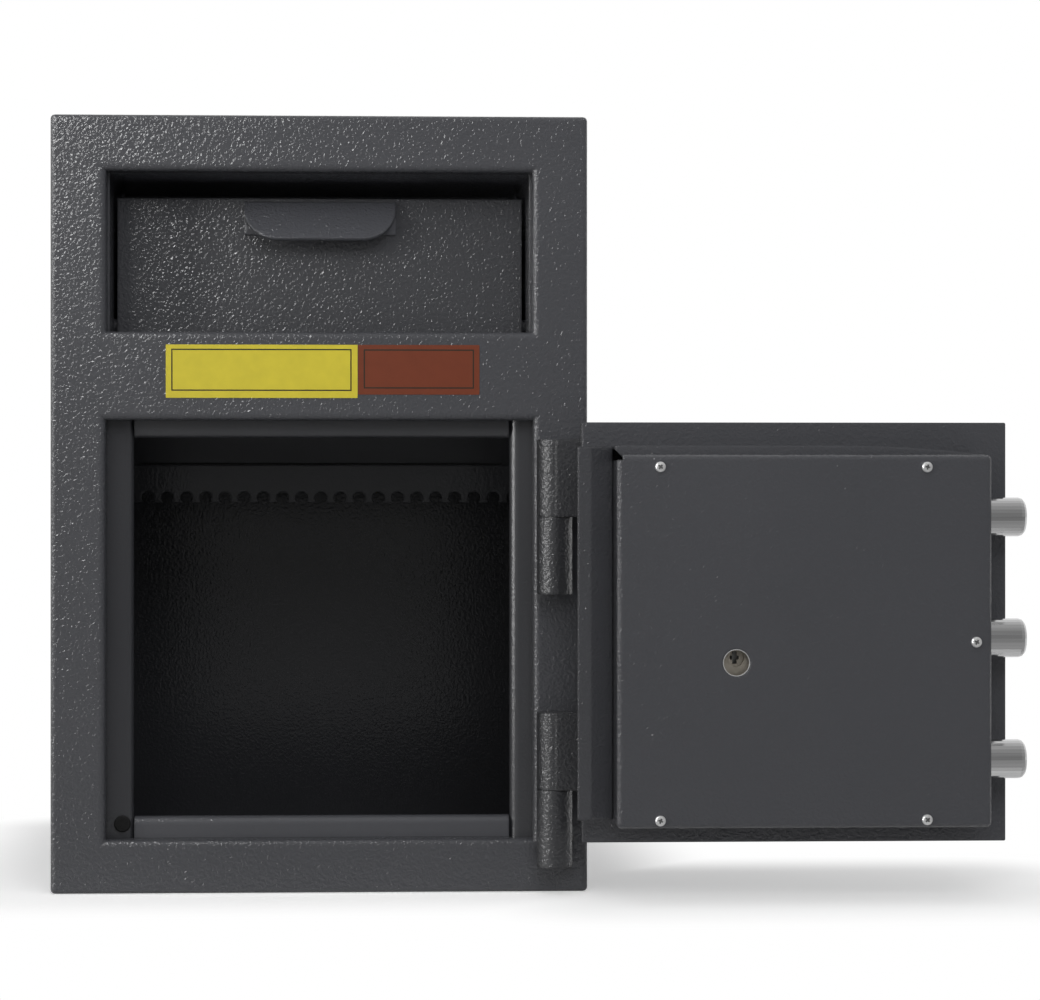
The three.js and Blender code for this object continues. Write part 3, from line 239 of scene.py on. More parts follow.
def hammered_paint(name, share):
    """Dark grey textured powder coat: a dull ground under a clear skin of small glinting ripples, its ground
    darker within the case as painted shade.
    """
    shader = Shader(name)
    place = shader.object_place()
    ripple = shader.noise(place, **RIPPLE_NOISE)
    grain = shader.noise(place, **GRAIN_NOISE)
    height = shader.math("ADD", ripple, shader.math("MULTIPLY", grain, GRAIN_SHARE))
    inside = inside_case(shader, place)
    calm = shader.math("SUBTRACT", 1.0, shader.math("MULTIPLY", inside, INSIDE_CALM))
    height = shader.math("MULTIPLY", height, calm)
    edges = shader.round_edges(EDGE_RADIUS)
    # The share lightens or darkens the whole ground: painted light and shade for every copy but the plain
    # paint
    ends = [tuple(channel * share for channel in tone) for tone in (PAINT_DARK, PAINT_LIGHT)]
    tone = shader.tones(shader.noise(place, **TONE_NOISE), *ends)
    # Within the case the ground takes this darker tone: painted shade
    shaded_tone = shader.vector("SCALE", tone)
    shaded_tone.node.inputs["Scale"].default_value = INSIDE_SHADE_SHARE
    body = shader.add("BsdfPrincipled", Roughness=PAINT_ROUGHNESS, Metallic=0.0)
    shader.set(body, "Base Color", shader.mix(inside, tone, shaded_tone))
    shader.set(body, "Specular IOR Level", PAINT_SPECULAR)
    shader.set(body, "Normal", shader.bump(height, GROUND_BUMP, RIPPLE_DEPTH, edges))
    shader.set(body, "Coat Weight", 1.0)
    shader.set(body, "Coat Roughness", COAT_ROUGHNESS)
    shader.set(body, "Coat IOR", COAT_IOR)
    shader.set(body, "Coat Normal", shader.bump(height, COAT_BUMP, RIPPLE_DEPTH, edges))
    return shader.finish(body.outputs[0])


# Metals, rubber, enamel and print

FINE_DEPTH = 0.1 * MM
COARSE_DEPTH = 0.2 * MM
CHROME_TONES = ((0.60, 0.60, 0.60), (0.66, 0.66, 0.665))
DRAW_SCALE = (14.0, 900.0, 900.0)
DRAW_SMEAR = [(0.35, grey(0.09)), (0.7, grey(0.17))]
DRAW_BUMP = 0.05
PRINT_DARKER = 0.93


def mottled(shader, tones, mottle, detail, grain, strength, depth, **looks):
    """Two tones in a noise of a scale and detail, under a grain of a scale, strength and depth."""
    place = shader.object_place()
    body = shader.add("BsdfPrincipled", **looks)
    shader.set(body, "Base Color", shader.tones(shader.noise(place, mottle, detail), *tones))
    shader.set(body, "Normal", shader.bump(shader.noise(place, grain), strength, depth))
    return shader.finish(body.outputs[0])


def bright_chrome():
    """Bright plating with faint lengthwise draw marks."""
    shader = Shader("chrome")
    drawn = shader.add("Mapping", Vector=shader.object_place(), Scale=DRAW_SCALE).outputs["Vector"]
    marks = shader.noise(drawn, scale=1.0)
    body = shader.add("BsdfPrincipled", Metallic=1.0)
    shader.set(body, "Base Color", shader.tones(marks, *CHROME_TONES))
    shader.set(body, "Roughness", shader.ramp(marks, DRAW_SMEAR))
    shader.set(body, "Normal", shader.bump(marks, DRAW_BUMP, FINE_DEPTH))
    return shader.finish(body.outputs[0])


def plated_screw():
    """Bright zinc plating, dull enough to look pale from all sides."""
    tones = (grey(0.72), grey(0.82))
    noises = {"mottle": 900.0, "detail": 2.0, "grain": 900.0, "strength": 0.06, "depth": FINE_DEPTH}
    return mottled(Shader("screw"), tones, **noises, Metallic=0.6, Roughness=0.3)


def screw_recess():
    """The cross in a screw head: duller, and darker as painted shade. The dial's index mark takes the same
    dark grey as its own colour.
    """
    tones = (grey(0.16), grey(0.26))
    noises = {"mottle": 1400.0, "detail": 2.0, "grain": 1400.0, "strength": 0.2, "depth": FINE_DEPTH}
    return mottled(Shader("screw_recess"), tones, **noises, Metallic=0.5, Roughness=0.5)


def plain_steel():
    shader = Shader("steel")
    tones = ((0.27, 0.27, 0.26), (0.40, 0.40, 0.39))
    dullness = shader.tones(shader.noise(shader.object_place(), scale=130.0), grey(0.32), grey(0.5))
    noises = {"mottle": 45.0, "detail": 4.0, "grain": 1500.0, "strength": 0.15, "depth": FINE_DEPTH}
    return mottled(shader, tones, **noises, Metallic=1.0, Roughness=dullness)


def cast_zinc():
    tones = ((0.34, 0.31, 0.26), (0.46, 0.42, 0.36))
    noises = {"mottle": 80.0, "detail": 4.0, "grain": 2200.0, "strength": 0.25, "depth": COARSE_DEPTH}
    return mottled(Shader("zinc"), tones, **noises, Metallic=0.6, Roughness=0.42)


def black_rubber():
    tones = (grey(0.008), grey(0.014))
    noises = {"mottle": 300.0, "detail": 3.0, "grain": 1800.0, "strength": 0.2, "depth": FINE_DEPTH}
    return mottled(Shader("rubber"), tones, **noises, Roughness=0.75, Specular_IOR_Level=0.2)


def dial_enamel():
    tones = ((0.010, 0.010, 0.011), (0.014, 0.014, 0.015))
    noises = {"mottle": 200.0, "detail": 3.0, "grain": 1600.0, "strength": 0.08, "depth": FINE_DEPTH}
    return mottled(Shader("dial"), tones, **noises, Roughness=0.32)


def plain_print(name, colour):
    """Printed vinyl or paint of one colour, with a faint mottle."""
    tones = (tuple(channel * PRINT_DARKER for channel in colour), colour)
    noises = {"mottle": 120.0, "detail": 3.0, "grain": 700.0, "strength": 0.05, "depth": COARSE_DEPTH}
    return mottled(Shader(name), tones, **noises, Roughness=0.45, Specular_IOR_Level=0.25)


finishes = {name: hammered_paint(name, share) for name, share in PAINTED_LIGHT_SHARES.items()}
finishes.update({
    "chrome": bright_chrome(),
    "screw": plated_screw(),
    "recess": screw_recess(),
    "steel": plain_steel(),
    "zinc": cast_zinc(),
    "rubber": black_rubber(),
    "dial": dial_enamel(),
})
prints = {
    "yellow": plain_print("vinyl_yellow", (0.74, 0.62, 0.045)),
    "brown": plain_print("vinyl_brown", (0.190, 0.040, 0.014)),
    "dark": plain_print("print_dark", (0.030, 0.024, 0.014)),
    "white": plain_print("print_white", (0.80, 0.80, 0.78)),
}


# The CAD nodes: the lit and shaded copies of the paint on some of them, which are painted light and shade, and
# soft edges of a width in millimetres

KNUCKLES = [f"hinge_{place}_{side}_knuckle" for place in ("upper", "lower") for side in ("case", "door")]
STOPS = ["stop_latch_side", "stop_hinge_side", "stop_top_rail", "stop_bottom_rail"]
LIGHT_AND_SHADE_COATS = {
    "drawer_pull": "paint_lit_pull",
    "drawer_face": "paint_shaded_drawer",
    "recess_hood": "paint_lit_hood",
    "recess_ceiling": "paint_lit_hood",
    "stop_bottom_rail": "paint_lit_rail",
    "dead_bar": "paint_shaded_dead_bar",
    **dict.fromkeys(KNUCKLES, "paint_shaded_hinge"),
}
BEVEL_WIDTHS = {
    "case_wrap": 0.9,
    "front_frame": 1.5,
    "drawer_face": 0.6,
    "drawer_pull": 0.7,
    "door_plate": 0.6,
    "bolt_box_top": 0.5,
    "bolt_box_bottom": 0.4,
    "bolt_guide_wall": 0.4,
    "lever_handle": 0.4,
    "chute_with_comb": 0.4,
    **dict.fromkeys(STOPS + KNUCKLES, 0.5),
}
WIDE_BEVEL = 1.0 * MM
WIDE_SEGMENTS = 5
NARROW_SEGMENTS = 2
BEVEL_ANGLE = math.radians(40)
SMOOTH_ANGLE = math.radians(35)


def smooth_by_angle(mesh):
    mesh.shade_smooth()
    mesh.set_sharp_from_angle(angle=SMOOTH_ANGLE)


def soften_edges(node, width):
    bevel = node.modifiers.new("edges", "BEVEL")
    bevel.width = width
    bevel.segments = NARROW_SEGMENTS if width < WIDE_BEVEL else WIDE_SEGMENTS
    bevel.limit_method = "ANGLE"
    bevel.angle_limit = BEVEL_ANGLE
    bevel.use_clamp_overlap = True
    bevel.harden_normals = True


def dress_frame():
    """Gives each CAD node its lit or shaded copy of the paint, which is painted light and shade, or else its
    slot's finish; soft edges and smooth round faces.
    """
    slots = {part["node"]: part["material_slot"] for part in frame["record"]["subparts"]}
    for name, node in frame["nodes"].items():
        node.data.materials.clear()
        node.data.materials.append(finishes[LIGHT_AND_SHADE_COATS.get(name, slots[name])])
        smooth_by_angle(node.data)
        if name in BEVEL_WIDTHS:
            soften_edges(node, BEVEL_WIDTHS[name] * MM)


# Pieces of the scene's own: shapes are drawn in X and Z, and their depth is along Y

SHEET_TAPER = 0.1 * MM
CORNER_STEPS = 5
BAND_STEPS = 48


def add_piece(name, mesh, material, body):
    piece = add_object(name, mesh)
    if material:
        mesh.materials.append(material)
    smooth_by_angle(mesh)
    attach(piece, body)
    return piece


def mesh_of(name, shape):
    mesh = bpy.data.meshes.new(name)
    bmesh.ops.recalc_face_normals(shape, faces=shape.faces)
    shape.to_mesh(mesh)
    shape.free()
    return mesh


def place_shape(shape, location):
    bmesh.ops.translate(shape, verts=shape.verts, vec=location)
    return shape


def bridge(shape, first, second):
    """Walls between two closed rings of points, either of which may be a single point."""
    steps = max(len(first), len(second))
    for i in range(steps):
        j = (i + 1) % steps
        near = (first[i % len(first)], first[j % len(first)])
        far = (second[j % len(second)], second[i % len(second)])
        shape.faces.new(list(dict.fromkeys(near + far)))


def join_rings(shape, rings):
    """A hollow body: walls from each ring to the next, and from the last to the first."""
    for first, second in zip(rings, rings[1:] + rings[:1]):
        bridge(shape, first, second)
    return shape


def circle(shape, radius, y, steps, middle=(0.0, 0.0)):
    """A ring of points about a line along Y."""
    ring = []
    for step in range(steps):
        angle = 2 * math.pi * step / steps
        place = (middle[0] + radius * math.cos(angle), y, middle[1] + radius * math.sin(angle))
        ring.append(shape.verts.new(place))
    return ring


def rectangle(x0, x1, z0, z1, inset):
    return [
        (x0 + inset, z0 + inset),
        (x1 - inset, z0 + inset),
        (x1 - inset, z1 - inset),
        (x0 + inset, z1 - inset),
    ]


def rounded_outline(x0, x1, z0, z1, radius):
    points = []
    quarter = math.pi / 2
    for i, (x, z) in enumerate(rectangle(x0, x1, z0, z1, radius)):
        for step in range(CORNER_STEPS + 1):
            angle = (2 + i) * quarter + quarter * step / CORNER_STEPS
            points.append((x + radius * math.cos(angle), z + radius * math.sin(angle)))
    return points


def prism(outline, depth, taper):
    """A closed plate: an outline from Y 0 towards -Y, drawn in by taper at the front."""
    shape = bmesh.new()
    centre = Vector((sum(x for x, _ in outline), sum(z for _, z in outline))) / len(outline)
    back = [shape.verts.new((x, 0.0, z)) for x, z in outline]
    front = []
    for x, z in outline:
        inward = (centre - Vector((x, z))).normalized() * taper
        front.append(shape.verts.new((x + inward.x, -depth, z + inward.y)))
    bridge(shape, back, front)
    shape.faces.new(front)
    shape.faces.new(list(reversed(back)))
    return shape


def frame_line(x0, x1, z0, z1, width, depth):
    """A thin closed rectangle of line, with open middle."""
    shape = bmesh.new()
    outer = rectangle(x0, x1, z0, z1, 0.0)
    inner = rectangle(x0, x1, z0, z1, width)
    sides = ((outer, 0.0), (outer, -depth), (inner, -depth), (inner, 0.0))
    return join_rings(shape, [[shape.verts.new((x, y, z)) for x, z in points] for points, y in sides])


def lathe(profile, steps):
    """A closed body of revolution about Y: pairs of radius and Y, from the axis to the axis."""
    shape = bmesh.new()
    rings = [circle(shape, radius, y, steps if radius else 1) for radius, y in profile]
    for first, second in zip(rings, rings[1:]):
        bridge(shape, first, second)
    return shape


def band(middle, radii, ends):
    """A closed ring about Y: its middle, inner and outer radius, and the Y of its two ends."""
    shape = bmesh.new()
    inner, outer = radii
    near, far = ends
    corners = ((outer, near), (inner, near), (inner, far), (outer, far))
    return join_rings(shape, [circle(shape, radius, y, BAND_STEPS, middle) for radius, y in corners])


def cut_mesh(name, whole, tool):
    """One mesh less another, by an exact boolean applied at once."""
    target = add_object("cut_target", mesh_of(name, whole))
    cutter = add_object("cut_tool", mesh_of("cut_tool", tool))
    boolean = target.modifiers.new("cut", "BOOLEAN")
    boolean.operation = "DIFFERENCE"
    boolean.solver = "EXACT"
    boolean.object = cutter
    bpy.context.view_layer.update()
    graph = bpy.context.evaluated_depsgraph_get()
    mesh = bpy.data.meshes.new_from_object(target.evaluated_get(graph))
    mesh.name = name
    for part in (target, cutter):
        bpy.data.objects.remove(part)
    return mesh


# Stickers between the windows

# Name, print, columns and rows of the photograph, and its line's insets: left, right, top, bottom
LABELS_PX = [
    ("label_yellow", "yellow", (166.0, 356.5), (345.5, 398.5), (5.5, 6.0, 4.2, 7.0)),
    ("label_brown", "brown", (357.0, 478.0), (345.5, 395.0), (5.5, 5.5, 4.5, 6.0)),
]
LABEL_SHEET = 0.25 * MM
LABEL_CORNER = 0.5 * MM
LINE_WIDTH = 0.85 * MM
LINE_SHEET = 0.06 * MM


def build_label(name, material, columns_px, rows_px, line_px):
    x0, x1 = (photo_x(column) for column in columns_px)
    z1, z0 = (photo_z(row) for row in rows_px)
    plate = prism(rounded_outline(x0, x1, z0, z1, LABEL_CORNER), LABEL_SHEET, SHEET_TAPER)
    plate_mesh = mesh_of(name, place_shape(plate, (0, FRONT_Y, 0)))
    add_piece(name, plate_mesh, prints[material], "safe_body")
    left, right, above, below = (inset * METRES_PER_PX for inset in line_px)
    line = frame_line(x0 + left, x1 - right, z0 + below, z1 - above, LINE_WIDTH, LINE_SHEET)
    line_mesh = mesh_of(name + "_line", place_shape(line, (0, FRONT_Y - LABEL_SHEET, 0)))
    add_piece(name + "_line", line_mesh, prints["dark"], "safe_body")


# Pan-head screws with a cross recess

SCREW_STEPS = 40
SCREW_HEAD_RADIUS = 3.4 * MM
SCREW_HEAD = 2.3 * MM
SHANK_RADIUS = 1.9 * MM
SHANK_LENGTH = 6.0 * MM
SEAT_CHAMFER = 0.15 * MM
RIM_HEIGHT = 0.7 * MM
SHOULDER = 1.3 * MM
SHOULDER_STEPS = 8
SHOULDER_SHARE = 0.82
CROWN_RADIUS = 1.3 * MM
CROWN_SHARE = 0.955
CROSS_REACH = 2.2 * MM
CROSS_WIDTH = 1.1 * MM
CROSS_DEPTH = 1.5 * MM
CROSS_OVERRUN = 1.0 * MM
CROSS_SHARE = 0.45
RECESS_LINE_SHARE = 0.88
SCREW_TURNS = {
    "cover_screw_1": 20.0,
    "cover_screw_2": 47.0,
    "cover_screw_3": 38.0,
    "cover_screw_4": 12.0,
    "lug_screw": 30.0,
}


def pan_head():
    """The head above its seat at Y 0, rising to -Y, with a short shank behind it."""
    profile = [(0.0, SHANK_LENGTH), (SHANK_RADIUS, SHANK_LENGTH), (SHANK_RADIUS, 0.0)]
    profile.append((SCREW_HEAD_RADIUS - SEAT_CHAMFER, 0.0))
    profile.append((SCREW_HEAD_RADIUS, -SEAT_CHAMFER))
    for step in range(SHOULDER_STEPS):
        angle = (math.pi / 2) * step / SHOULDER_STEPS
        radius = (SCREW_HEAD_RADIUS - SHOULDER) + SHOULDER * math.cos(angle)
        profile.append((radius, -RIM_HEIGHT - (SCREW_HEAD - RIM_HEIGHT) * SHOULDER_SHARE * math.sin(angle)))
    profile.append((CROWN_RADIUS, -SCREW_HEAD * CROWN_SHARE))
    profile.append((0.0, -SCREW_HEAD))
    return lathe(profile, SCREW_STEPS)


def cross_tool():
    """A cross-shaped plug that narrows towards the recess's floor."""
    shape = bmesh.new()
    half = CROSS_WIDTH / 2
    top = (-SCREW_HEAD - CROSS_OVERRUN, CROSS_REACH)
    floor = (-SCREW_HEAD + CROSS_DEPTH, CROSS_REACH * CROSS_SHARE)
    rings = []
    for y, reach in (top, floor):
        corners = []
        for turn in range(4):
            for x, z in ((half, half), (reach, half), (reach, -half)):
                angle = -turn * math.pi / 2
                across = x * math.cos(angle) - z * math.sin(angle)
                upward = x * math.sin(angle) + z * math.cos(angle)
                corners.append(shape.verts.new((across, y, upward)))
        rings.append(corners)
    bridge(shape, *rings)
    shape.faces.new(rings[0])
    shape.faces.new(list(reversed(rings[1])))
    return shape


def shade_recess(mesh):
    """Gives the walls and floor of the cross their own duller finish, darker as painted shade."""
    mesh.materials.append(finishes["screw"])
    mesh.materials.append(finishes["recess"])
    for face in mesh.polygons:
        across = math.hypot(face.center.x, face.center.z)
        within = across < CROSS_REACH and face.center.y > -SCREW_HEAD * RECESS_LINE_SHARE
        face.material_index = int(within and face.center.y < 0.0)


def build_screws():
    master = cut_mesh("screw_head", pan_head(), cross_tool())
    shade_recess(master)
    for node, turn in SCREW_TURNS.items():
        x, z = middle_of(node)
        seat = Vector((x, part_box(node)[0].y + SCREW_HEAD, z))
        mesh = master.copy()
        mesh.name = node + "_pan_head"
        mesh.transform(Matrix.Translation(seat) @ Matrix.Rotation(math.radians(turn), 4, "Y"))
        piece = add_piece(node + "_pan_head", mesh, None, "door")
        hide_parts(node)


# Rim of the hole in the cover, over the lock's change key

HOLE_RADIUS = 8.6 * MM
HOLE_RIM = 0.45 * MM
HOLE_FROM_DIAL = 17.1 * MM
RIM_DEPTH = 1.4 * MM


def build_hole_rim():
    x, z = middle_of("dial")
    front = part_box("door_cover")[0].y
    shape = band((x - HOLE_FROM_DIAL, z), (HOLE_RADIUS - HOLE_RIM, HOLE_RADIUS), (front, front + RIM_DEPTH))
    add_piece("cover_hole_rim", mesh_of("cover_hole_rim", shape), finishes["screw"], "door")


# A black strip across the underside of the chute: painted shade of a seam

SEAM_SPAN = 262.0 * MM
SEAM_WIDTH = 6.0 * MM
SEAM_CORNER = 1.0 * MM
SEAM_SHEET = 0.25 * MM
SEAM_Y = 7.4 * MM
SEAM_Z = 284.5 * MM
SEAM_SLOPE = -0.103


def build_seam():
    half = SEAM_SPAN / 2
    outline = rounded_outline(-half, half, -SEAM_WIDTH / 2, SEAM_WIDTH / 2, SEAM_CORNER)
    shape = prism(outline, SEAM_SHEET, SHEET_TAPER)
    turn = Matrix.Rotation(math.atan(SEAM_SLOPE), 4, "X") @ Matrix.Rotation(math.pi / 2, 4, "X")
    place = Matrix.Translation((0, SEAM_Y, SEAM_Z)) @ turn
    bmesh.ops.transform(shape, matrix=place, verts=shape.verts)
    # The near-black rubber finish stands in for the seam's shade: painted shade
    add_piece("chute_seam_shade", mesh_of("chute_seam_shade", shape), finishes["rubber"], "safe_body")


# Scale of the combination dial: a mark for each number and a figure for each ten

DIAL_MARKS = 100
DIAL_SCALE_RADIUS = 37.2 * MM
MARK_LENGTHS = {1: 2.2 * MM, 5: 3.2 * MM, 10: 4.2 * MM}
MARK_WIDTH = 0.42 * MM
MARK_HEIGHT = 0.12 * MM
DIAL_FACE_RADIUS = 20.0 * MM
DIAL_FACE_Y = -195.55 * MM
DIAL_FACE_SLOPE = -0.1257
FIGURE_EVERY = 10
FIGURE_RADIUS = 29.5 * MM
FIGURE_SIZE = 5.0 * MM
FIGURE_HEIGHT = 0.08 * MM
FIGURE_RESOLUTION = 3
INDEX_INSET = 0.7 * MM


def dial_face(radius):
    """Y of the dial's coned face at a radius."""
    return DIAL_FACE_Y + (radius - DIAL_FACE_RADIUS) * DIAL_FACE_SLOPE


def dial_place(angle):
    """From a flat drawing that reads from behind the safe, X right and Y up, turned clockwise by an angle."""
    x, z = middle_of("dial")
    reading = Matrix(((-1, 0, 0, 0), (0, 0, 1, 0), (0, 1, 0, 0), (0, 0, 0, 1)))
    return Matrix.Translation((x, 0.0, z)) @ reading @ Matrix.Rotation(-angle, 4, "Z")


def number_place(number):
    return dial_place(2 * math.pi * number / DIAL_MARKS)


def add_mark(shape, place, outer, length, levels):
    """A raised bar along the radius; levels are its Y at the inner and outer end."""
    half = MARK_WIDTH / 2
    corners = [(-half, outer - length, levels[0]), (half, outer - length, levels[0])]
    corners += [(half, outer, levels[1]), (-half, outer, levels[1])]
    foot = [shape.verts.new(place @ Vector(corner)) for corner in corners]
    rise = Vector((0, 0, MARK_HEIGHT))
    top = [shape.verts.new(place @ (Vector(corner) + rise)) for corner in corners]
    shape.faces.new(top)
    shape.faces.new(list(reversed(foot)))
    bridge(shape, foot, top)


def build_dial_marks():
    shape = bmesh.new()
    for number in range(DIAL_MARKS):
        step = max(count for count in MARK_LENGTHS if number % count == 0)
        length = MARK_LENGTHS[step]
        levels = (dial_face(DIAL_SCALE_RADIUS - length), dial_face(DIAL_SCALE_RADIUS))
        add_mark(shape, number_place(number), DIAL_SCALE_RADIUS, length, levels)
    add_piece("dial_scale", mesh_of("dial_scale", shape), prints["white"], "dial")


def figure_mesh(text):
    """The mesh of a flat text, centred on its own origin."""
    curve = bpy.data.curves.new("figure", "FONT")
    curve.body = text
    curve.size = FIGURE_SIZE
    curve.extrude = FIGURE_HEIGHT
    curve.resolution_u = FIGURE_RESOLUTION
    curve.align_x = "CENTER"
    curve.align_y = "CENTER"
    source = add_object("figure", curve)
    bpy.context.view_layer.update()
    flat = bpy.data.meshes.new_from_object(source.evaluated_get(bpy.context.evaluated_depsgraph_get()))
    bpy.data.objects.remove(source)
    return flat


def build_dial_figures():
    shape = bmesh.new()
    lean = Matrix.Rotation(math.atan(DIAL_FACE_SLOPE), 4, "X")
    seat = Matrix.Translation((0, FIGURE_RADIUS, dial_face(FIGURE_RADIUS)))
    for number in range(0, DIAL_MARKS, FIGURE_EVERY):
        flat = figure_mesh(str(number))
        flat.transform(number_place(number) @ seat @ lean)
        shape.from_mesh(flat)
    add_piece("dial_figures", mesh_of("dial_figures", shape), prints["white"], "dial")


def build_dial_index():
    low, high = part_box("dial_ring")
    shape = bmesh.new()
    outer = (high.x - low.x) / 2 - INDEX_INSET
    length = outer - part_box("dial")[1].x + middle_of("dial_ring")[0] - INDEX_INSET
    add_mark(shape, dial_place(0.0), outer, length, (high.y, high.y))
    add_piece("dial_index", mesh_of("dial_index", shape), finishes["recess"], "door")


# Floor: white to the camera, with the object's soft shadow within the shadow zones

FLOOR_SIZE = 60.0
FLOOR_DROP = 0.2 * MM
FLOOR_SEEN = 0.92
FLOOR_BOUNCE = 0.60
FLOOR_LIFT = 0.36
FLOOR_DIM_FROM = 0.0
FLOOR_DIM_TO = -1.5
FLOOR_DIM_STOPS = [(0.0, grey(0.80)), (0.15, grey(0.38)), (0.5, grey(0.30)), (1.0, grey(0.20))]
SHADOW_ZONES = [((0.0, 0.0), (0.1765, 0.178)), ((0.32, -0.17), (0.13, 0.06))]
ZONE_FROM = 0.015
ZONE_TO = 0.11


def zone_distance(shader, place, middle, half):
    """How far a point of the floor lies outside a rectangle of the floor."""
    offset = shader.vector("SUBTRACT", place, (*middle, 0.0))
    beyond = shader.vector("SUBTRACT", shader.vector("ABSOLUTE", offset), (*half, 0.0))
    length = shader.add("VectorMath", Vector=shader.vector("MAXIMUM", beyond, (0.0, 0.0, 0.0)))
    length.operation = "LENGTH"
    return length.outputs["Value"]


def white_floor():
    """White to the camera and in metal, where it is dimmer towards the front; a dimmer grey to other rays."""
    shader = Shader("floor")
    place = shader.object_place()
    path = shader.add("LightPath")
    glossy = path.outputs["Is Glossy Ray"]
    seen = shader.math("MAXIMUM", path.outputs["Is Camera Ray"], glossy)
    seen = shader.math("MAXIMUM", seen, path.outputs["Is Transmission Ray"])
    distances = [zone_distance(shader, place, middle, half) for middle, half in SHADOW_ZONES]
    away = shader.add("MapRange", Value=shader.math("MINIMUM", *distances))
    away.interpolation_type = "SMOOTHSTEP"
    shader.set(away, "From Min", ZONE_FROM)
    shader.set(away, "From Max", ZONE_TO)
    split = shader.add("SeparateXYZ", Vector=place)
    forward = shader.add("MapRange", Value=split.outputs["Y"])
    shader.set(forward, "From Min", FLOOR_DIM_FROM)
    shader.set(forward, "From Max", FLOOR_DIM_TO)
    shown = shader.mix(glossy, grey(1.0), shader.ramp(forward.outputs["Result"], FLOOR_DIM_STOPS))
    diffuse = shader.add("BsdfDiffuse", Color=shader.mix(seen, grey(FLOOR_BOUNCE), grey(FLOOR_SEEN)))
    lift = shader.add("Emission", Color=shown, Strength=shader.math("MULTIPLY", seen, FLOOR_LIFT))
    near = shader.add("AddShader")
    shader.put(near.inputs[0], diffuse.outputs[0])
    shader.put(near.inputs[1], lift.outputs[0])
    plain = shader.add("Emission", Color=shown, Strength=1.0)
    both = shader.add("MixShader", Fac=shader.math("MULTIPLY", away.outputs["Result"], seen))
    shader.put(both.inputs[1], near.outputs[0])
    shader.put(both.inputs[2], plain.outputs[0])
    return shader.finish(both.outputs[0])


def build_floor():
    mesh = bpy.data.meshes.new("floor")
    half = FLOOR_SIZE / 2
    corners = [(-half, -half), (half, -half), (half, half), (-half, half)]
    mesh.from_pydata([(x, y, 0.0) for x, y in corners], [], [(0, 1, 2, 3)])
    floor = add_object("floor", mesh)
    floor.location.z = -FLOOR_DROP
    mesh.materials.append(white_floor())


# Surroundings: brightness from front to back, as light and as metal mirrors it

WORLD_RUN_FROM = -1.0
WORLD_LIGHT_STOPS = [(0.0, grey(0.38)), (0.5, grey(0.13)), (1.0, grey(0.42))]
WORLD_METAL_STOPS = [(0.0, grey(0.22)), (0.35, grey(0.40)), (0.6, grey(0.60)), (0.95, grey(1.0))]


def build_world():
    """White wherever the camera looks; as light and in metal it is dimmer."""
    world = bpy.data.worlds.new("studio")
    bpy.context.scene.world = world
    world.use_nodes = True
    nodes = Nodes(world.node_tree, "OutputWorld")
    path = nodes.add("LightPath")
    split = nodes.add("SeparateXYZ", Vector=nodes.add("TexCoord").outputs["Generated"])
    run = nodes.add("MapRange", Value=split.outputs["Y"], From_Min=WORLD_RUN_FROM)
    light = nodes.ramp(run.outputs["Result"], WORLD_LIGHT_STOPS)
    metal = nodes.ramp(run.outputs["Result"], WORLD_METAL_STOPS)
    strength = nodes.mix(path.outputs["Is Glossy Ray"], light, metal, "VALUE")
    seen = nodes.math("MAXIMUM", path.outputs["Is Camera Ray"], path.outputs["Is Transmission Ray"])
    strength = nodes.mix(seen, strength, 1.0, "VALUE")
    nodes.finish(nodes.add("Background", Color=grey(1.0), Strength=strength).outputs[0])


# Lamps

TOP_PLACE = (0.10, -0.83, 1.72)
LEFT_PLACE = (-1.45, -1.05, 0.52)
RIGHT_PLACE = (1.65, -1.25, 1.0)
CORNER_PLACE = (-0.40, -0.70, 0.76)
FRONT_PLACE = (0.25, -1.90, 1.15)
SAFE_MIDDLE = (0.10, -0.20, 0.25)
TOP_CORNER = (-0.15, -0.18, 0.48)
# Name, kind, place, the point that it faces, size and power
LAMPS = [
    ("top", "soft", TOP_PLACE, SAFE_MIDDLE, (1.5, 1.5), 8.0),
    ("top_sheen", "sheen", TOP_PLACE, SAFE_MIDDLE, (1.5, 1.5), 10.5),
    ("left", "plain", LEFT_PLACE, SAFE_MIDDLE, (0.6, 1.0), 3.0),
    ("left_sheen", "sheen", LEFT_PLACE, SAFE_MIDDLE, (0.32, 1.0), 60.0),
    ("right", "soft", RIGHT_PLACE, SAFE_MIDDLE, (1.4, 1.2), 2.5),
    ("corner_sheen", "sheen", CORNER_PLACE, TOP_CORNER, (0.26, 0.26), 3.0),
    ("front", "soft", FRONT_PLACE, SAFE_MIDDLE, (1.0, 0.7), 10.0),
]


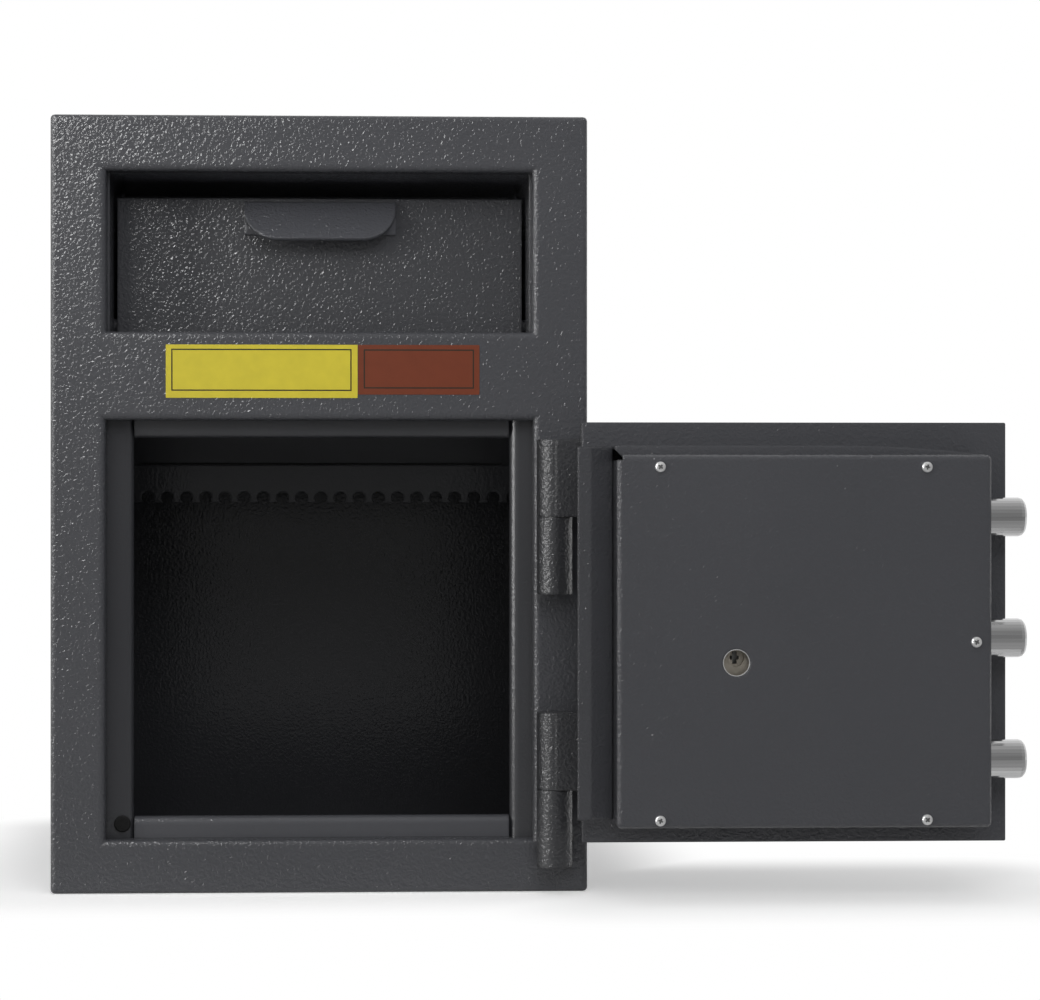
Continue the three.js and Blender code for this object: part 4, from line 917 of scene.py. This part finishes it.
def add_lamp(name, kind, place, target, size, power):
    """A soft lamp doesn't show in shiny surfaces, a sheen lamp shows only there, and a plain one does both."""
    light = bpy.data.lights.new(name, "AREA")
    light.shape = "RECTANGLE"
    light.size, light.size_y = size
    light.energy = power
    lamp = add_object(name, light)
    lamp.location = place
    lamp.rotation_euler = (Vector(target) - Vector(place)).to_track_quat("-Z", "Y").to_euler()
    lamp.visible_glossy = kind != "soft"
    lamp.visible_diffuse = kind != "sheen"
    return lamp


def keep_off(lamp, piece):
    """Stops a lamp from lighting one piece."""
    unlit = bpy.data.collections.new(lamp.name + "_keeps_off")
    unlit.objects.link(piece)
    unlit.collection_objects[0].light_linking.link_state = "EXCLUDE"
    lamp.light_linking.receiver_collection = unlit


def build_lights():
    lamps = {lamp[0]: add_lamp(*lamp) for lamp in LAMPS}
    keep_off(lamps["corner_sheen"], frame["nodes"]["case_wrap"])


# Camera

CAMERA_DISTANCE = 1.8
CAMERA_X_PX = 331.0
CAMERA_Z_PX = 500.0
CAMERA_SHIFT = 0.08
CAMERA_YAW = math.radians(2.194)
FOCAL_PX = 2735.7
SENSOR_WIDTH_MM = 36.0
CLIP_START = 0.05
CLIP_END = 100.0


def build_camera():
    data = bpy.data.cameras.new("camera")
    camera = add_object("camera", data)
    bpy.context.scene.camera = camera
    camera.location = (photo_x(CAMERA_X_PX), FRONT_Y - CAMERA_DISTANCE, photo_z(CAMERA_Z_PX))
    camera.rotation_euler = (math.pi / 2, 0.0, -CAMERA_YAW)
    data.sensor_width = SENSOR_WIDTH_MM
    data.lens = FOCAL_PX * SENSOR_WIDTH_MM / IMAGE_WIDTH_PX
    data.shift_x = CAMERA_SHIFT
    data.clip_start = CLIP_START
    data.clip_end = CLIP_END


bpy.context.scene.view_settings.view_transform = "Standard"
for label in LABELS_PX:
    build_label(*label)
build_screws()
build_hole_rim()
build_seam()
build_dial_marks()
build_dial_figures()
build_dial_index()
dress_frame()
build_floor()
build_world()
build_lights()
build_camera()
